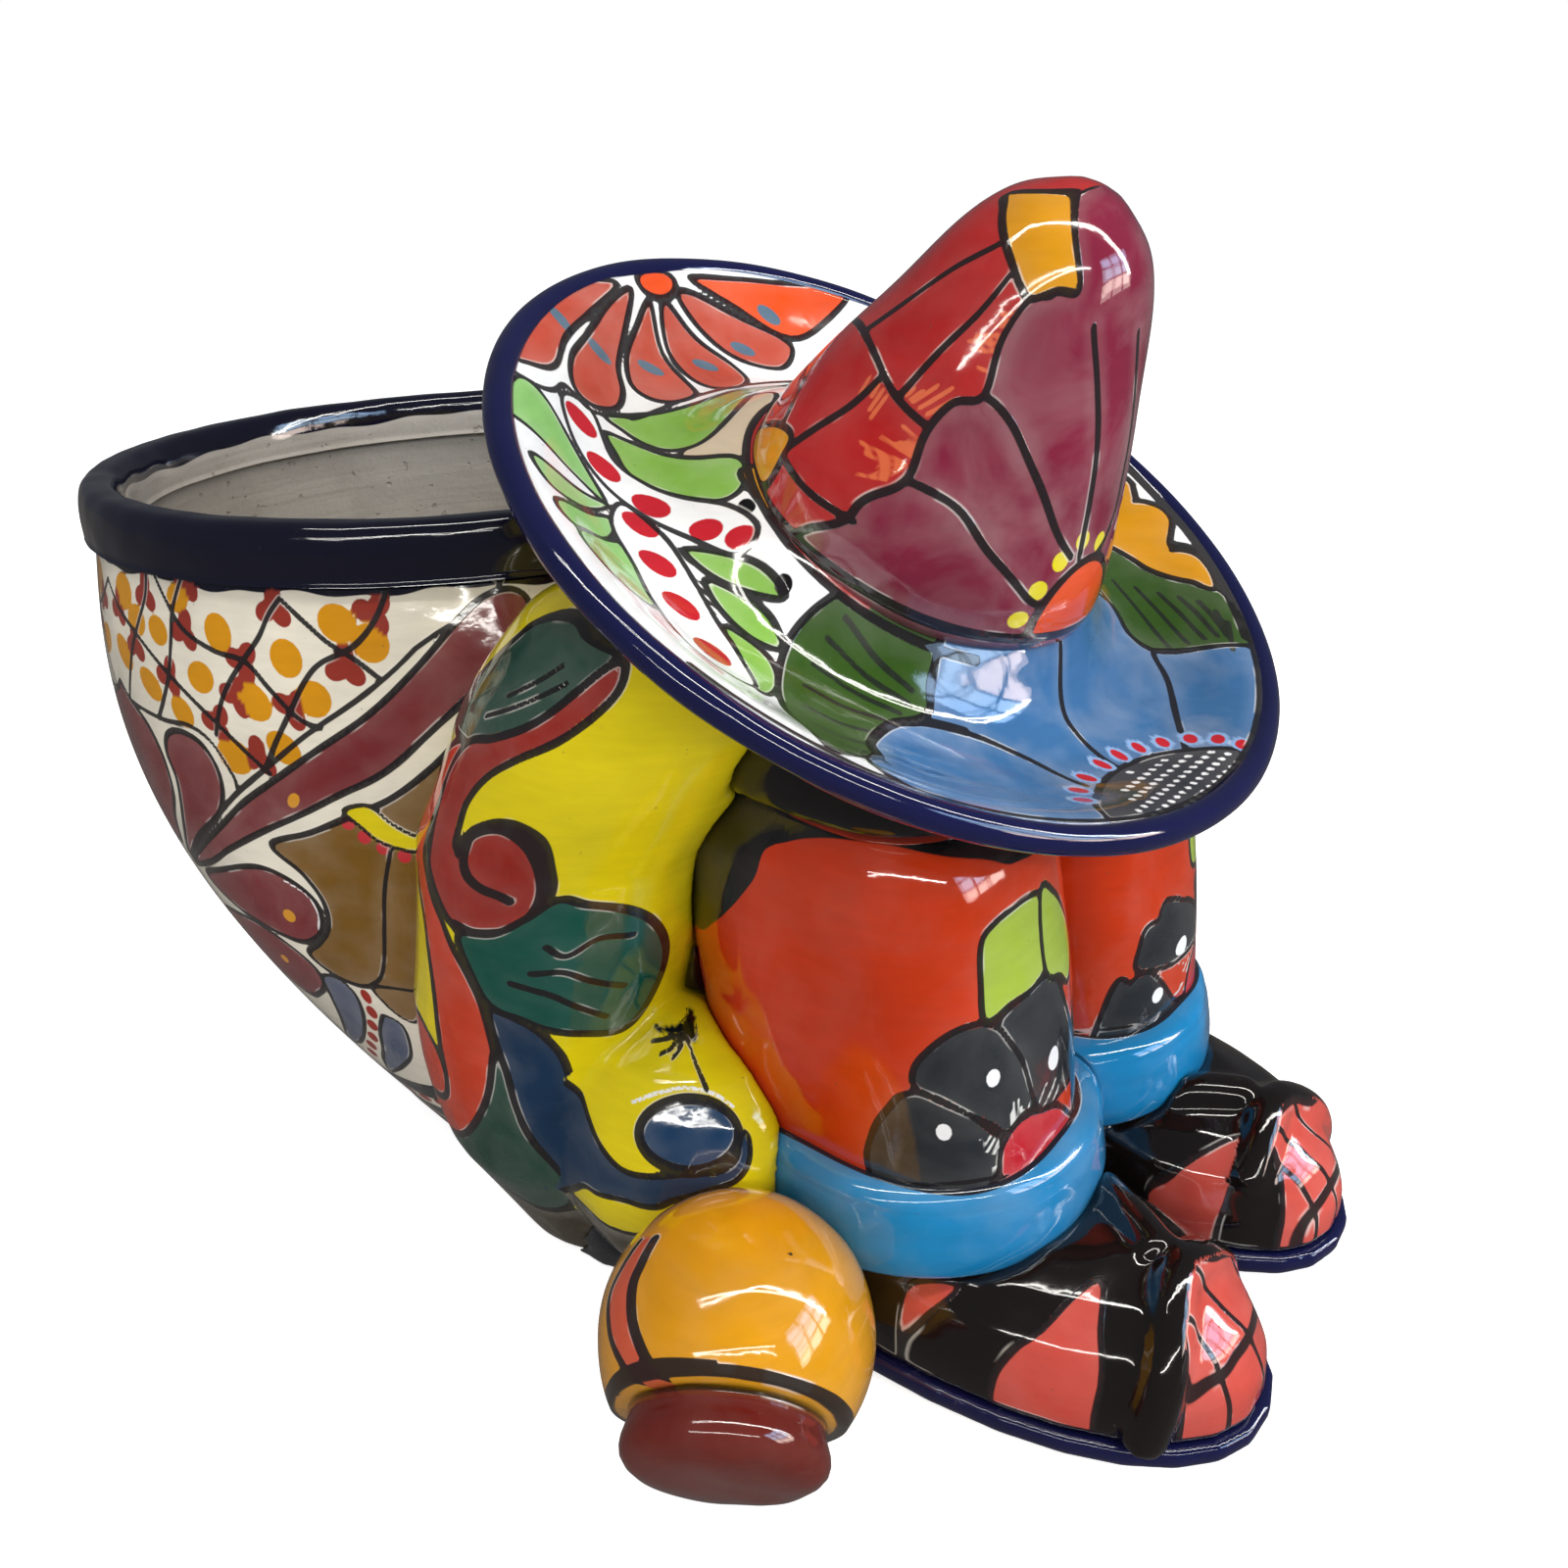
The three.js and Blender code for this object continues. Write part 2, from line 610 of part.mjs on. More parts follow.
const body = largest(
  cutBy(loft(bodyRings()), potKeepOut, limbsOut, armsOut, sleevesOut, hatKeepOut),
);
const bodyOut = loft(grown(bodyRings(), JOINT));
const head = largest(cutBy(headForm(), armsOut, bodyOut, sleevesOut, hatKeepOut));
const skirt = cutBy(loft(skirtRings()), potKeepOut, limbsOut, sleevesOut, bodyOut);

const colours = {
  cream: 0xe9e1cf, navy: 0x10143c, yellow: 0xe0c81a, orange: 0xd1491b, blue: 0x3a93cc,
  black: 0x15100f, white: 0xefeae0, red: 0xc0281f, amber: 0xd8931a,
  maroon: 0x7c2a2c, teal: 0x1f6a62,
};

const vessel = new THREE.Group();
vessel.add(piece("pot_base", cutBy(potFloor, drain), glaze(colours.cream, 0.6)));
vessel.add(piece("pot_wall", potWall, glaze(colours.cream)));
vessel.add(piece("pot_rim", rim, glaze(colours.navy)));
for (const [name, side] of sides) {
  vessel.add(piece(`${name}_skirt`, largest(skirt.intersect(half(side))), glaze(colours.teal)));
}

const figure = new THREE.Group();
for (const [name, side] of sides) {
  const own = half(side);
  const leg = cutBy(loft(legRings(side)), shellOf(legRings(side), SHELL)).intersect(own);
  figure.add(piece(`${name}_leg`, leg, glaze(colours.orange)));
  const cuff = cutBy(loft(cuffRings(side)), legsOut).intersect(own);
  figure.add(piece(`${name}_cuff`, cuff, glaze(colours.blue)));
  const upper = loft(shoeRings(side)).add(loft(ankleRings(side)));
  const shoe = cutBy(upper, cuffsOut).intersect(own);
  figure.add(piece(`${name}_shoe`, shoe, glaze(colours.black)));
  figure.add(piece(`${name}_sole`, loft(soleRings(side)).intersect(own), glaze(colours.navy)));
  const strap = cutBy(straps(side), shoeOut(side), cuffsOut).intersect(own);
  figure.add(piece(`${name}_strap`, strap, glaze(colours.black)));
  const sleeve = cutBy(
    sleeveForm(side), sleeveHollow(side), potKeepOut, limbsOut, armsOut, hatKeepOut,
  );
  figure.add(piece(`${name}_sleeve`, largest(sleeve.intersect(own)), glaze(colours.yellow)));
}
figure.add(piece("serape_body", body, glaze(colours.yellow)));
figure.add(piece("folded_arms", arms, glaze(colours.black)));
figure.add(piece("head", head, glaze(colours.black)));

const hat = new THREE.Group();
hat.applyMatrix4(hatMatrix);
hat.add(piece("hat_brim", brim, glaze(colours.white)));
hat.add(piece("hat_edge", edgeRoll, glaze(colours.navy)));
hat.add(piece("hat_crown", crown, glaze(colours.red)));

const jug = new THREE.Group();
const toJug = jugMatrix.clone().invert();

// What the jug's ball is pressed against, grown by a clearance
function jugNeighbours(grow) {
  const forms = [
    sleeveForm(-1, grow), loft(grown(shoeRings(-1), grow)), loft(grown(soleRings(-1), grow)),
    loft(grown(cuffRings(-1), grow)), loft(grown(skirtRings(), grow)),
  ];
  return placed(forms.reduce((all, form) => all.add(form)), toJug);
}

// The ball keeps its wall where a neighbour dents it
const jugHollow = cutBy(turned(jugOutline(JUG_SHELL), AROUND_SMALL), jugNeighbours(JOINT + JUG_SHELL));
const jugBall = cutBy(turned(jugOutline(), AROUND_SMALL), largest(jugHollow), jugNeighbours(JOINT));
jug.applyMatrix4(jugMatrix);
jug.add(piece("jug_body", jugBall, glaze(colours.amber)));
jug.add(piece("jug_mouth", jugNeck, glaze(colours.maroon)));

const planter = new THREE.Group();
planter.add(vessel, figure, hat, jug);
export default planter;
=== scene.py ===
# %% [markdown]
# This lesson dresses a hand-painted planter: a leaning pot of glazed clay with a figure asleep
# in front of it under a wide hat. The clay body comes in as a frame of separate solids. Each
# solid is replaced by a finer mesh of the same size and place, because a glossy glaze shows
# every facet. The brushwork is laid on the meshes as numbers at their points: a colour for each
# wash, and a distance in millimetres to the nearest black line. The shader turns the distance
# into a crisp line, so no picture file is needed.

# %% Load the clay body
import json
import math

import bmesh
import bpy
import numpy as np
from mathutils import Matrix, Vector


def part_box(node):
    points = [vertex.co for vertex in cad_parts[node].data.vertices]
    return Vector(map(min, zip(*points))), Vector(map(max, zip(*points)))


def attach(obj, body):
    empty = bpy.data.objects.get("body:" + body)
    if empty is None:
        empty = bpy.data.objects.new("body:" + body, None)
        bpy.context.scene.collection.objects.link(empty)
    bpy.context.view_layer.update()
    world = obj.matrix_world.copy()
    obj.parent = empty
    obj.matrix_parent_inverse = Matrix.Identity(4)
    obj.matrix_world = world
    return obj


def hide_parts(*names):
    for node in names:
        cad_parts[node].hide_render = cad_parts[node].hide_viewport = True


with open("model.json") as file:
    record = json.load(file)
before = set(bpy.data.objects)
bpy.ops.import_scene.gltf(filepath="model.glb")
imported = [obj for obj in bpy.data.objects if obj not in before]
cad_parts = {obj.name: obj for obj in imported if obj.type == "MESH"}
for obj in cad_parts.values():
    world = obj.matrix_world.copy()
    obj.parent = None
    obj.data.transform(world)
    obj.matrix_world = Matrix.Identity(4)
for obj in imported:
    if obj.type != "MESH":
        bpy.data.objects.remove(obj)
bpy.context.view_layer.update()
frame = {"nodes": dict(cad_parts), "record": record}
MM = 0.001

# %% [markdown]
# The camera stands to the figure's right, a little above the hat, and looks down at it. The
# lens is wide, so the near shoe and the near brim grow and the pot's back rim shrinks.

# %% Camera
CAMERA_PLACE = (-0.3287, -0.3583, 0.3415)
CAMERA_TURN = -49.89
CAMERA_DROP = 25.35
CAMERA_ROLL = -1.95
CAMERA_LENS = 29.31


def link_object(name, data):
    thing = bpy.data.objects.new(name, data)
    bpy.context.scene.collection.objects.link(thing)
    return thing


camera_data = bpy.data.cameras.new("studio_camera")
camera_data.lens = CAMERA_LENS
camera_data.sensor_width = 36.0
camera = link_object("studio_camera", camera_data)
camera.location = CAMERA_PLACE
camera.rotation_mode = "QUATERNION"


def turned_camera(turn, drop, roll):
    turn, drop, roll = (math.radians(a) for a in (turn, drop, roll))
    ahead = Vector((-math.sin(turn) * math.cos(drop), math.cos(turn) * math.cos(drop), -math.sin(drop)))
    right = Vector((math.cos(turn), math.sin(turn), 0))
    up = right.cross(ahead)
    side = right * math.cos(roll) + up * math.sin(roll)
    top = up * math.cos(roll) - right * math.sin(roll)
    return Matrix((side, top, -ahead)).transposed().to_quaternion()


camera.rotation_quaternion = turned_camera(CAMERA_TURN, CAMERA_DROP, CAMERA_ROLL)
bpy.context.scene.camera = camera
print("camera lens", camera_data.lens)

# %% [markdown]
# The forms follow a few driving sizes of the pot, the hat, the sleeves and the legs. They are
# repeated here in millimetres, and each finished piece is compared with the box of its solid.
# A knot curve is a smooth cubic through a few pairs, which is how a potter's template works: a
# few measured widths and a fair line between them.

# %% Knot curves
def knot_curve(knots):
    x = np.array([k[0] for k in knots], float)
    v = np.array([k[1] for k in knots], float)
    gap = np.diff(x)
    count = len(x)
    matrix = np.eye(count)
    right = np.zeros(count)
    for i in range(1, count - 1):
        matrix[i, i - 1 : i + 2] = gap[i - 1], 2 * (gap[i - 1] + gap[i]), gap[i]
        right[i] = 6 * ((v[i + 1] - v[i]) / gap[i] - (v[i] - v[i - 1]) / gap[i - 1])
    bend = np.linalg.solve(matrix, right)

    def value(t):
        t = np.asarray(t, float)
        i = np.clip(np.searchsorted(x, t) - 1, 0, count - 2)
        d, h = t - x[i], gap[i]
        slope = (v[i + 1] - v[i]) / h - h * (2 * bend[i] + bend[i + 1]) / 6
        return v[i] + d * slope + d * d * bend[i] / 2 + d**3 * (bend[i + 1] - bend[i]) / (6 * h)

    return value


POT_HEIGHT, POT_LEAN, LEAN_POWER = 250.0, 83.5, 1.46
BAND_BOTTOM, WALL, FLOOR = 230.0, 10.0, 14.0
pot_radius = knot_curve([(0, 106), (55, 133), (110, 151.2), (162, 156), (230, 143.5)])


def pot_centre(z):
    return POT_LEAN * (1 - np.maximum(0, 1 - np.asarray(z, float) / POT_HEIGHT) ** LEAN_POWER)


FRONT = 156 - float(pot_centre(162))
print("front of the belly at y =", round(-FRONT, 1))

# %% [markdown]
# Most pieces are grids of points: rings round a middle, stacked along a profile. A ring that
# closes on the first one makes a tube, and a grid whose ends shrink to a point makes a cap.
# Building the grid this way keeps the points even, about a millimetre apart where a brush will
# go and wider where nothing is painted.

# %% Grids to meshes
def link_mesh(name, points, faces):
    mesh = bpy.data.meshes.new(name)
    mesh.from_pydata((np.asarray(points) * MM).tolist(), [], faces)
    mesh.update()
    mesh.polygons.foreach_set("use_smooth", [True] * len(mesh.polygons))
    return link_object(name, mesh)


def grid_faces(rows, columns, looped):
    row_count = rows if looped else rows - 1
    i, j = np.meshgrid(np.arange(row_count), np.arange(columns), indexing="ij")
    i2, j2 = (i + 1) % rows, (j + 1) % columns
    quads = np.stack([i * columns + j, i * columns + j2, i2 * columns + j2, i2 * columns + j], -1)
    return quads.reshape(-1, 4)


def grid_piece(name, grid, looped=False):
    rows, columns = grid.shape[:2]
    points = grid.reshape(-1, 3)
    faces = grid_faces(rows, columns, looped).tolist()
    if not looped:
        low, high = len(points), len(points) + 1
        points = np.vstack([points, grid[0].mean(0), grid[-1].mean(0)])
        last = (rows - 1) * columns
        for j in range(columns):
            k = (j + 1) % columns
            faces.append([low, k, j])
            faces.append([high, last + j, last + k])
    return link_mesh(name, points, faces)


def read_points(thing, kind):
    flat = np.empty(len(thing.data.vertices) * 3, np.float32)
    thing.data.vertices.foreach_get(kind, flat)
    return flat.reshape(-1, 3)


def points_of(thing):
    return read_points(thing, "co").astype(float) / MM


def set_points(thing, points):
    thing.data.vertices.foreach_set("co", (points * MM).astype(np.float32).ravel())
    thing.data.update()


def lumps(points, size, seed):
    """A hand's unevenness from -1 to 1: three crossed waves about size mm long."""
    rng = np.random.default_rng(seed)
    total = np.zeros(len(points))
    for _ in range(3):
        way = rng.normal(size=3)
        way *= 2 * math.pi / size / np.linalg.norm(way)
        total += np.sin(points @ way + rng.uniform(0, 6.28))
    return total / 3


def round_grid(profile, around, middle=None):
    """Rings of a turned form from pairs of radius and height, counterclockwise from +X."""
    t = 2 * math.pi * np.arange(around) / around
    rings = [np.stack([r * np.cos(t), r * np.sin(t), np.full(around, z)], 1) for r, z in profile]
    grid = np.stack(rings)
    if middle is not None:
        grid[..., 1] += np.asarray(middle)[:, None]
    return grid


def uneven(thing, size, depth, seed):
    """Draws the surface in by 0 to depth mm, in lumps of a size."""
    points = points_of(thing)
    points += read_points(thing, "normal") * ((lumps(points, size, seed) - 1) * depth / 2)[:, None]
    set_points(thing, points)


def face_test(thing, test):
    """Gives the second material to the faces whose first point passes a test."""
    first = np.empty(len(thing.data.polygons), np.int32)
    thing.data.polygons.foreach_get("loop_start", first)
    corner = np.empty(len(thing.data.loops), np.int32)
    thing.data.loops.foreach_get("vertex_index", corner)
    thing.data.polygons.foreach_set("material_index", test[corner[first]].astype(np.int32))


# %% [markdown]
# The sleeves, shoes, arms and other hand-pressed lumps have no simple formula, and they already
# have the right places as solids. Each is remeshed into even small faces and then relaxed, which
# rounds its edges as a wet sponge does. The relaxing draws the form in a little, so it is
# pushed out again by about the same amount.

# %% Soften a solid into hand-pressed clay
def pressed(nodes, voxel, rounds, swell):
    clay = bmesh.new()
    for node in nodes:
        clay.from_mesh(frame["nodes"][node].data)
    mesh = bpy.data.meshes.new("clay_" + nodes[0])
    clay.to_mesh(mesh)
    clay.free()
    thing = link_object(mesh.name, mesh)
    remesh = thing.modifiers.new("even", "REMESH")
    remesh.mode = "VOXEL"
    remesh.voxel_size = voxel * MM
    relax = thing.modifiers.new("relax", "SMOOTH")
    relax.factor = 0.5
    relax.iterations = rounds
    graph = bpy.context.evaluated_depsgraph_get()
    relaxed = bpy.data.meshes.new_from_object(thing.evaluated_get(graph))
    thing.modifiers.clear()
    thing.data = relaxed
    points = points_of(thing) + read_points(thing, "normal") * swell
    points[:, 2] = np.maximum(points[:, 2], 0)
    set_points(thing, points)
    relaxed.polygons.foreach_set("use_smooth", [True] * len(relaxed.polygons))
    thing.name = nodes[0] + "_glazed"
    return thing


# %% [markdown]
# A brush stroke is a closed outline or an open line through a few given places, in
# millimetres on the surface laid flat. The curve between the places is a Catmull-Rom spline,
# which passes through each of them. A place given twice makes a corner.

# %% Brush curves
CURVE_STEPS = 5


def brush_curve(places, closed):
    p = np.asarray(places, float)
    if closed:
        p = np.vstack([p[-1], p, p[0], p[1]])
    else:
        p = np.vstack([2 * p[0] - p[1], p, 2 * p[-1] - p[-2]])
    t = np.arange(CURVE_STEPS)[:, None] / CURVE_STEPS
    out = []
    for a, b, c, d in zip(p, p[1:], p[2:], p[3:]):
        square, cube = 2 * a - 5 * b + 4 * c - d, 3 * b - a - 3 * c + d
        out.append(0.5 * (2 * b + (c - a) * t + square * t**2 + cube * t**3))
    out = np.vstack(out)
    return out if closed else np.vstack([out, p[-2]])


def oval(u, v, a, b, turn=0.0, count=14):
    t = np.arange(count) * 2 * math.pi / count
    c, s = math.cos(math.radians(turn)), math.sin(math.radians(turn))
    x, y = a * np.cos(t), b * np.sin(t)
    return np.stack([u + x * c - y * s, v + x * s + y * c], 1)


def line_distance(points, line, closed):
    """The distance of each point to a line of points, and if it is closed, which side it is on."""
    a = line
    b = np.roll(line, -1, 0) if closed else line[1:]
    a = a if closed else line[:-1]
    best = np.full(len(points), 1e9)
    inside = np.zeros(len(points), bool)
    x, y = points[:, 0], points[:, 1]
    for (ax, ay), (bx, by) in zip(a, b):
        dx, dy = bx - ax, by - ay
        length = dx * dx + dy * dy
        if length < 1e-9:
            continue
        t = np.clip(((x - ax) * dx + (y - ay) * dy) / length, 0, 1)
        best = np.minimum(best, (x - ax - t * dx) ** 2 + (y - ay - t * dy) ** 2)
        if closed and dy:
            inside ^= ((ay > y) != (by > y)) & (x < (y - ay) * dx / dy + ax)
    return np.sqrt(best), inside


# %% [markdown]
# The glaze colours are the pots on the painter's bench. They are written as screen colours and
# turned into light amounts, because the shader mixes light.

# %% The painter's pots
def light(hexcolour, wash=0.0):
    channels = [int(hexcolour[i : i + 2], 16) / 255 for i in (0, 2, 4)]
    return [c / 12.92 if c <= 0.04045 else ((c + 0.055) / 1.055) ** 2.4 for c in channels] + [wash]


CREAM = light("e0d8c8")
WHITE = light("e8e6e6")
BLACK = light("0f0c0d")
NAVY = light("12143c")
RIM_NAVY = light("0d0d1e")
YELLOW = light("dac612")
RED_ORANGE = light("be330d", 0.08)
FLAME = light("bf3410", 0.1)
ORANGE = light("dc4a17", 0.1)
CORAL = light("b44836", 0.2)
BRICK = light("98291c", 0.1)
SCROLL_RED = light("8e2218", 0.1)
CHERRY = light("b81f2a", 0.1)
MAROON = light("70282c", 0.15)
BUD = light("8c3126", 0.1)
MAUVE = light("781f36", 0.28)
AMBER = light("cb8a10", 0.08)
OCHRE = light("71501a", 0.2)
LIME = light("9aae35", 0.15)
GRASS = light("79a83f", 0.25)
LEAF = light("85b866", 0.3)
FERN = light("2f4b16", 0.1)
FERN_VEIN = light("1f261a")
TEAL = light("0a4a3e", 0.06)
DEEP_TEAL = light("1c3f33", 0.12)
SKY = light("1777aa", 0.15)
FLOWER_BLUE = light("396694", 0.3)
INK_BLUE = light("0f2c48", 0.1)
SCROLL_BLUE = light("16385a", 0.12)
CHARCOAL = light("2c2d33", 0.1)
DUSK = light("46506a", 0.25)
STONE = light("24272b", 0.08)
SALMON = light("c0473c", 0.1)
ESPRESSO = light("15100f")
RUSSET = light("5e1a12", 0.06)
WINE = light("64161a", 0.1)
DARK_HEM = light("3a3220", 0.3)
CLAY = light("a8a199")
STEEL = light("55697b")
HALO = light("86a6d0")
SAND = light("cbb9a0")
CROWN_RED = light("a81c1c", 0.08)
EMBER = light("d0603a")
TILE_RED = light("c04a2c", 0.1)
MIST = light("d2cec8")
print("orange as light amounts:", [round(c, 3) for c in ORANGE[:3]])

# %% [markdown]
# The canvas is one surface laid flat. It is painted as the real one is, one shape over another.
# A filled shape covers what lies under it and carries a black line on its own edge. A dab is a
# shape with no line. Lines and dabs are kept as distances, so that they stay sharp between two
# points of the mesh.

# %% Canvas
FAR = 9.0
LINE = 2.1
LAYERS = ("paint", "accent", "ink", "spot")


class Canvas:
    def __init__(self, flat, ground, line=LINE):
        self.flat = np.asarray(flat, float)
        self.line = line
        count = len(self.flat)
        self.paint = np.tile(np.array(ground, float), (count, 1))
        self.accent = np.tile(np.array(ground, float), (count, 1))
        self.ink = np.full(count, FAR)
        self.spot = np.full(count, FAR)
        self.place = lambda p: p
        self.strokes = 0

    def near(self, line, margin=7.0):
        low, high = line.min(0) - margin, line.max(0) + margin
        return np.flatnonzero(((self.flat >= low) & (self.flat <= high)).all(1))

    def fill(self, places, colour, line=None, curved=True):
        line = self.line if line is None else line
        edge = self.place(brush_curve(places, True) if curved else np.asarray(places, float))
        at = self.near(edge)
        if not len(at):
            return
        self.strokes += 1
        d, inside = line_distance(self.flat[at], edge, True)
        self.paint[at[inside]] = colour
        self.spot[at[inside]] = FAR
        if line:
            over = d - line / 2
            self.ink[at] = np.where(inside, over, np.minimum(self.ink[at], over))
        else:
            self.ink[at] = np.where(inside, np.minimum(d + 0.01, FAR), self.ink[at])

    def stroke(self, places, width=None, curved=True):
        width = self.line if width is None else width
        line = self.place(brush_curve(places, False) if curved else np.asarray(places, float))
        at = self.near(line)
        if not len(at):
            return
        self.strokes += 1
        d, _ = line_distance(self.flat[at], line, False)
        self.ink[at] = np.minimum(self.ink[at], d - width / 2)

    def lay(self, at, d, colour):
        close = d < np.minimum(self.spot[at], 3.0)
        self.accent[at[close]] = colour
        self.spot[at] = np.minimum(self.spot[at], d)

    def dab(self, outline, colour):
        edge = self.place(np.asarray(outline, float))
        at = self.near(edge, 4)
        if len(at):
            self.strokes += 1
            d, inside = line_distance(self.flat[at], edge, True)
            self.lay(at, np.where(inside, -d, d), colour)

    def cover(self, places, colour):
        """A dab with a curved outline through the places."""
        self.dab(brush_curve(places, True), colour)

    def dot(self, u, v, a, b, colour, turn=0.0):
        self.dab(oval(u, v, a, b, turn), colour)

    def streak(self, places, colour, width=1.4):
        line = self.place(brush_curve(places, False))
        at = self.near(line, 4)
        if len(at):
            self.strokes += 1
            d, _ = line_distance(self.flat[at], line, False)
            self.lay(at, d - width / 2, colour)

    def feather(self, root, tip, count, colour, width=0.6):
        """Short strokes side by side, from points along one line to points along another."""
        root, tip = brush_curve(root, False), brush_curve(tip, False)
        for k in range(count):
            share = (k + 0.5) / count
            a = root[int(share * (len(root) - 1))]
            b = tip[int(share * (len(tip) - 1))]
            self.streak([a, a + (b - a) * (0.65 + 0.35 * math.sin(5.1 * k))], colour, width)

    def take(self, at, other, theirs=slice(None)):
        """Copies all or some points of another canvas to places on this one."""
        for layer in LAYERS:
            getattr(self, layer)[at] = getattr(other, layer)[theirs]


def dress(thing, canvas):
    """Writes a canvas onto the points of its mesh."""
    for layer in LAYERS:
        values = np.asarray(getattr(canvas, layer), np.float32)
        kind, key = ("FLOAT_COLOR", "color") if values.ndim == 2 else ("FLOAT", "value")
        thing.data.attributes.new(layer, kind, "POINT").data.foreach_set(key, values.ravel())


# %% [markdown]
# The glaze is one shader for every painted piece. The wash under it is uneven: it lets some
# white through where the brush ran dry, and it darkens where it pooled. The black line is
# thresholded from its distance, with a little noise so that its edge trembles as a hand does,
# and it stands up slightly, as thick pigment does. Above it all lies clear glass, smooth but
# not flat, which is what breaks the reflections of the lamps.

# %% Glaze shader
def feed(socket, value):
    """Joins a socket to another one, or sets its number."""
    if isinstance(value, bpy.types.NodeSocket):
        socket.id_data.links.new(value, socket)
    else:
        socket.default_value = value


def node_maker(material):
    def make(kind, inputs=None, **settings):
        node = material.node_tree.nodes.new("ShaderNode" + kind)
        for key, value in settings.items():
            setattr(node, key, value)
        for key, value in (inputs or {}).items():
            feed(node.inputs[key], value)
        return node

    return make


def new_material(name):
    material = bpy.data.materials.new(name)
    material.use_nodes = True
    material.node_tree.nodes.clear()
    return material


def noise(make, place, scale, detail=2.0, rough=0.5, warp=0.0):
    keys = {"Vector": place, "Scale": scale, "Detail": detail, "Roughness": rough, "Distortion": warp}
    return make("TexNoise", keys).outputs["Fac"]


def spread(make, value, low, high, to_low, to_high, smooth=False):
    kind = "SMOOTHSTEP" if smooth else "LINEAR"
    keys = {"Value": value, "From Min": low, "From Max": high, "To Min": to_low, "To Max": to_high}
    return make("MapRange", keys, interpolation_type=kind).outputs["Result"]


def maths(make, how, a, b=0.0):
    node = make("Math", operation=how)
    for socket, value in zip(node.inputs, (a, b)):
        feed(socket, value)
    return node.outputs[0]


def mixed(make, how, factor, a, b):
    node = make("Mix", data_type="RGBA", blend_type=how)
    for socket, value in zip((node.inputs[0], node.inputs[6], node.inputs[7]), (factor, a, b)):
        feed(socket, value)
    return node.outputs[2]


def finish_shader(make, before, after, share):
    """Ends a material in a mix of two shaders."""
    choice = make("MixShader", {"Fac": share})
    feed(choice.inputs[1], before.outputs[0])
    feed(choice.inputs[2], after.outputs[0])
    make("OutputMaterial", {"Surface": choice.outputs[0]})


def painted_glaze(name, roughness=0.06, depth=1.0):
    material = new_material(name)
    make = node_maker(material)
    place = make("TexCoord").outputs["Object"]
    paint = make("Attribute", attribute_name="paint")
    accent = make("Attribute", attribute_name="accent").outputs["Color"]
    ink = make("Attribute", attribute_name="ink").outputs["Fac"]
    spot = make("Attribute", attribute_name="spot").outputs["Fac"]

    tremble = spread(make, noise(make, place, 60.0), 0.3, 0.7, -0.12, 0.12)
    ink = maths(make, "ADD", ink, tremble)
    line = spread(make, ink, -0.16, 0.16, 1.0, 0.0, True)
    spot = maths(make, "ADD", spot, maths(make, "MULTIPLY", tremble, 0.8))
    dab = spread(make, spot, -0.2, 0.2, 1.0, 0.0, True)

    pooled = spread(make, noise(make, place, 24.0, 2.0, 0.5, 0.3), 0.3, 0.7, 0.9, 1.08)
    brushed = make("Mapping", {"Vector": place, "Rotation": (0.5, 0.3, 0.2), "Scale": (60.0, 60.0, 330.0)})
    bristles = noise(make, brushed.outputs["Vector"], 1.0, 3.0, 0.6)
    tone = maths(make, "ADD", pooled, spread(make, bristles, 0.3, 0.7, -0.05, 0.05))
    colour = mixed(make, "MIX", dab, paint.outputs["Color"], accent)
    toned = make("HueSaturation", {"Value": tone, "Saturation": 1.0, "Color": colour}).outputs["Color"]
    cloud = spread(make, noise(make, place, 38.0, 4.0, 0.55, 0.4), 0.4, 0.72, 0.0, 0.42)
    edge = spread(make, ink, 0.3, 5.0, 0.14, 0.0, True)
    dry = maths(make, "MULTIPLY", maths(make, "ADD", cloud, edge), paint.outputs["Alpha"])
    toned = mixed(make, "MIX", dry, toned, (0.83, 0.78, 0.72, 1.0))
    missed = spread(make, noise(make, place, 60.0, 1.0), 0.54, 0.62, 0.0, 1.0)
    sliver = maths(make, "MULTIPLY", spread(make, ink, 0.1, 0.7, 0.5, 0.0, True), missed)
    toned = mixed(make, "MIX", sliver, toned, (0.8, 0.76, 0.7, 1.0))
    speck = spread(make, noise(make, place, 520.0, 1.0), 0.78, 0.83, 0.0, 0.5)
    toned = mixed(make, "MIX", speck, toned, (0.08, 0.06, 0.05, 1.0))
    toned = mixed(make, "MIX", maths(make, "MULTIPLY", line, 0.97), toned, (0.012, 0.010, 0.011, 1.0))

    heave = noise(make, place, 30.0, 2.0, 0.4)
    waves = make("Bump", {"Height": heave, "Strength": 0.5 * depth, "Distance": 0.004})
    pigment = maths(make, "ADD", line, spread(make, noise(make, place, 260.0, 2.0), 0.3, 0.7, 0.0, 0.12))
    ridges = make("Bump", {"Height": pigment, "Strength": 0.5, "Distance": 0.0003})
    feed(ridges.inputs["Normal"], waves.outputs["Normal"])
    satin = spread(make, noise(make, place, 75.0, 3.0), 0.3, 0.75, roughness, roughness + 0.05)
    glass = {"IOR": 1.5, "Coat Weight": 0.5, "Coat Roughness": 0.03, "Coat IOR": 1.5}
    surface = {"Base Color": toned, "Roughness": satin, "Normal": ridges.outputs["Normal"]}
    make("OutputMaterial", {"Surface": make("BsdfPrincipled", surface | glass).outputs[0]})
    return material


# %% [markdown]
# Inside, the pot is bare clay that was wiped with thin slip. It is matt and pale grey, blotched
# by water, with pits where grit came out and turning marks that run round the wall.

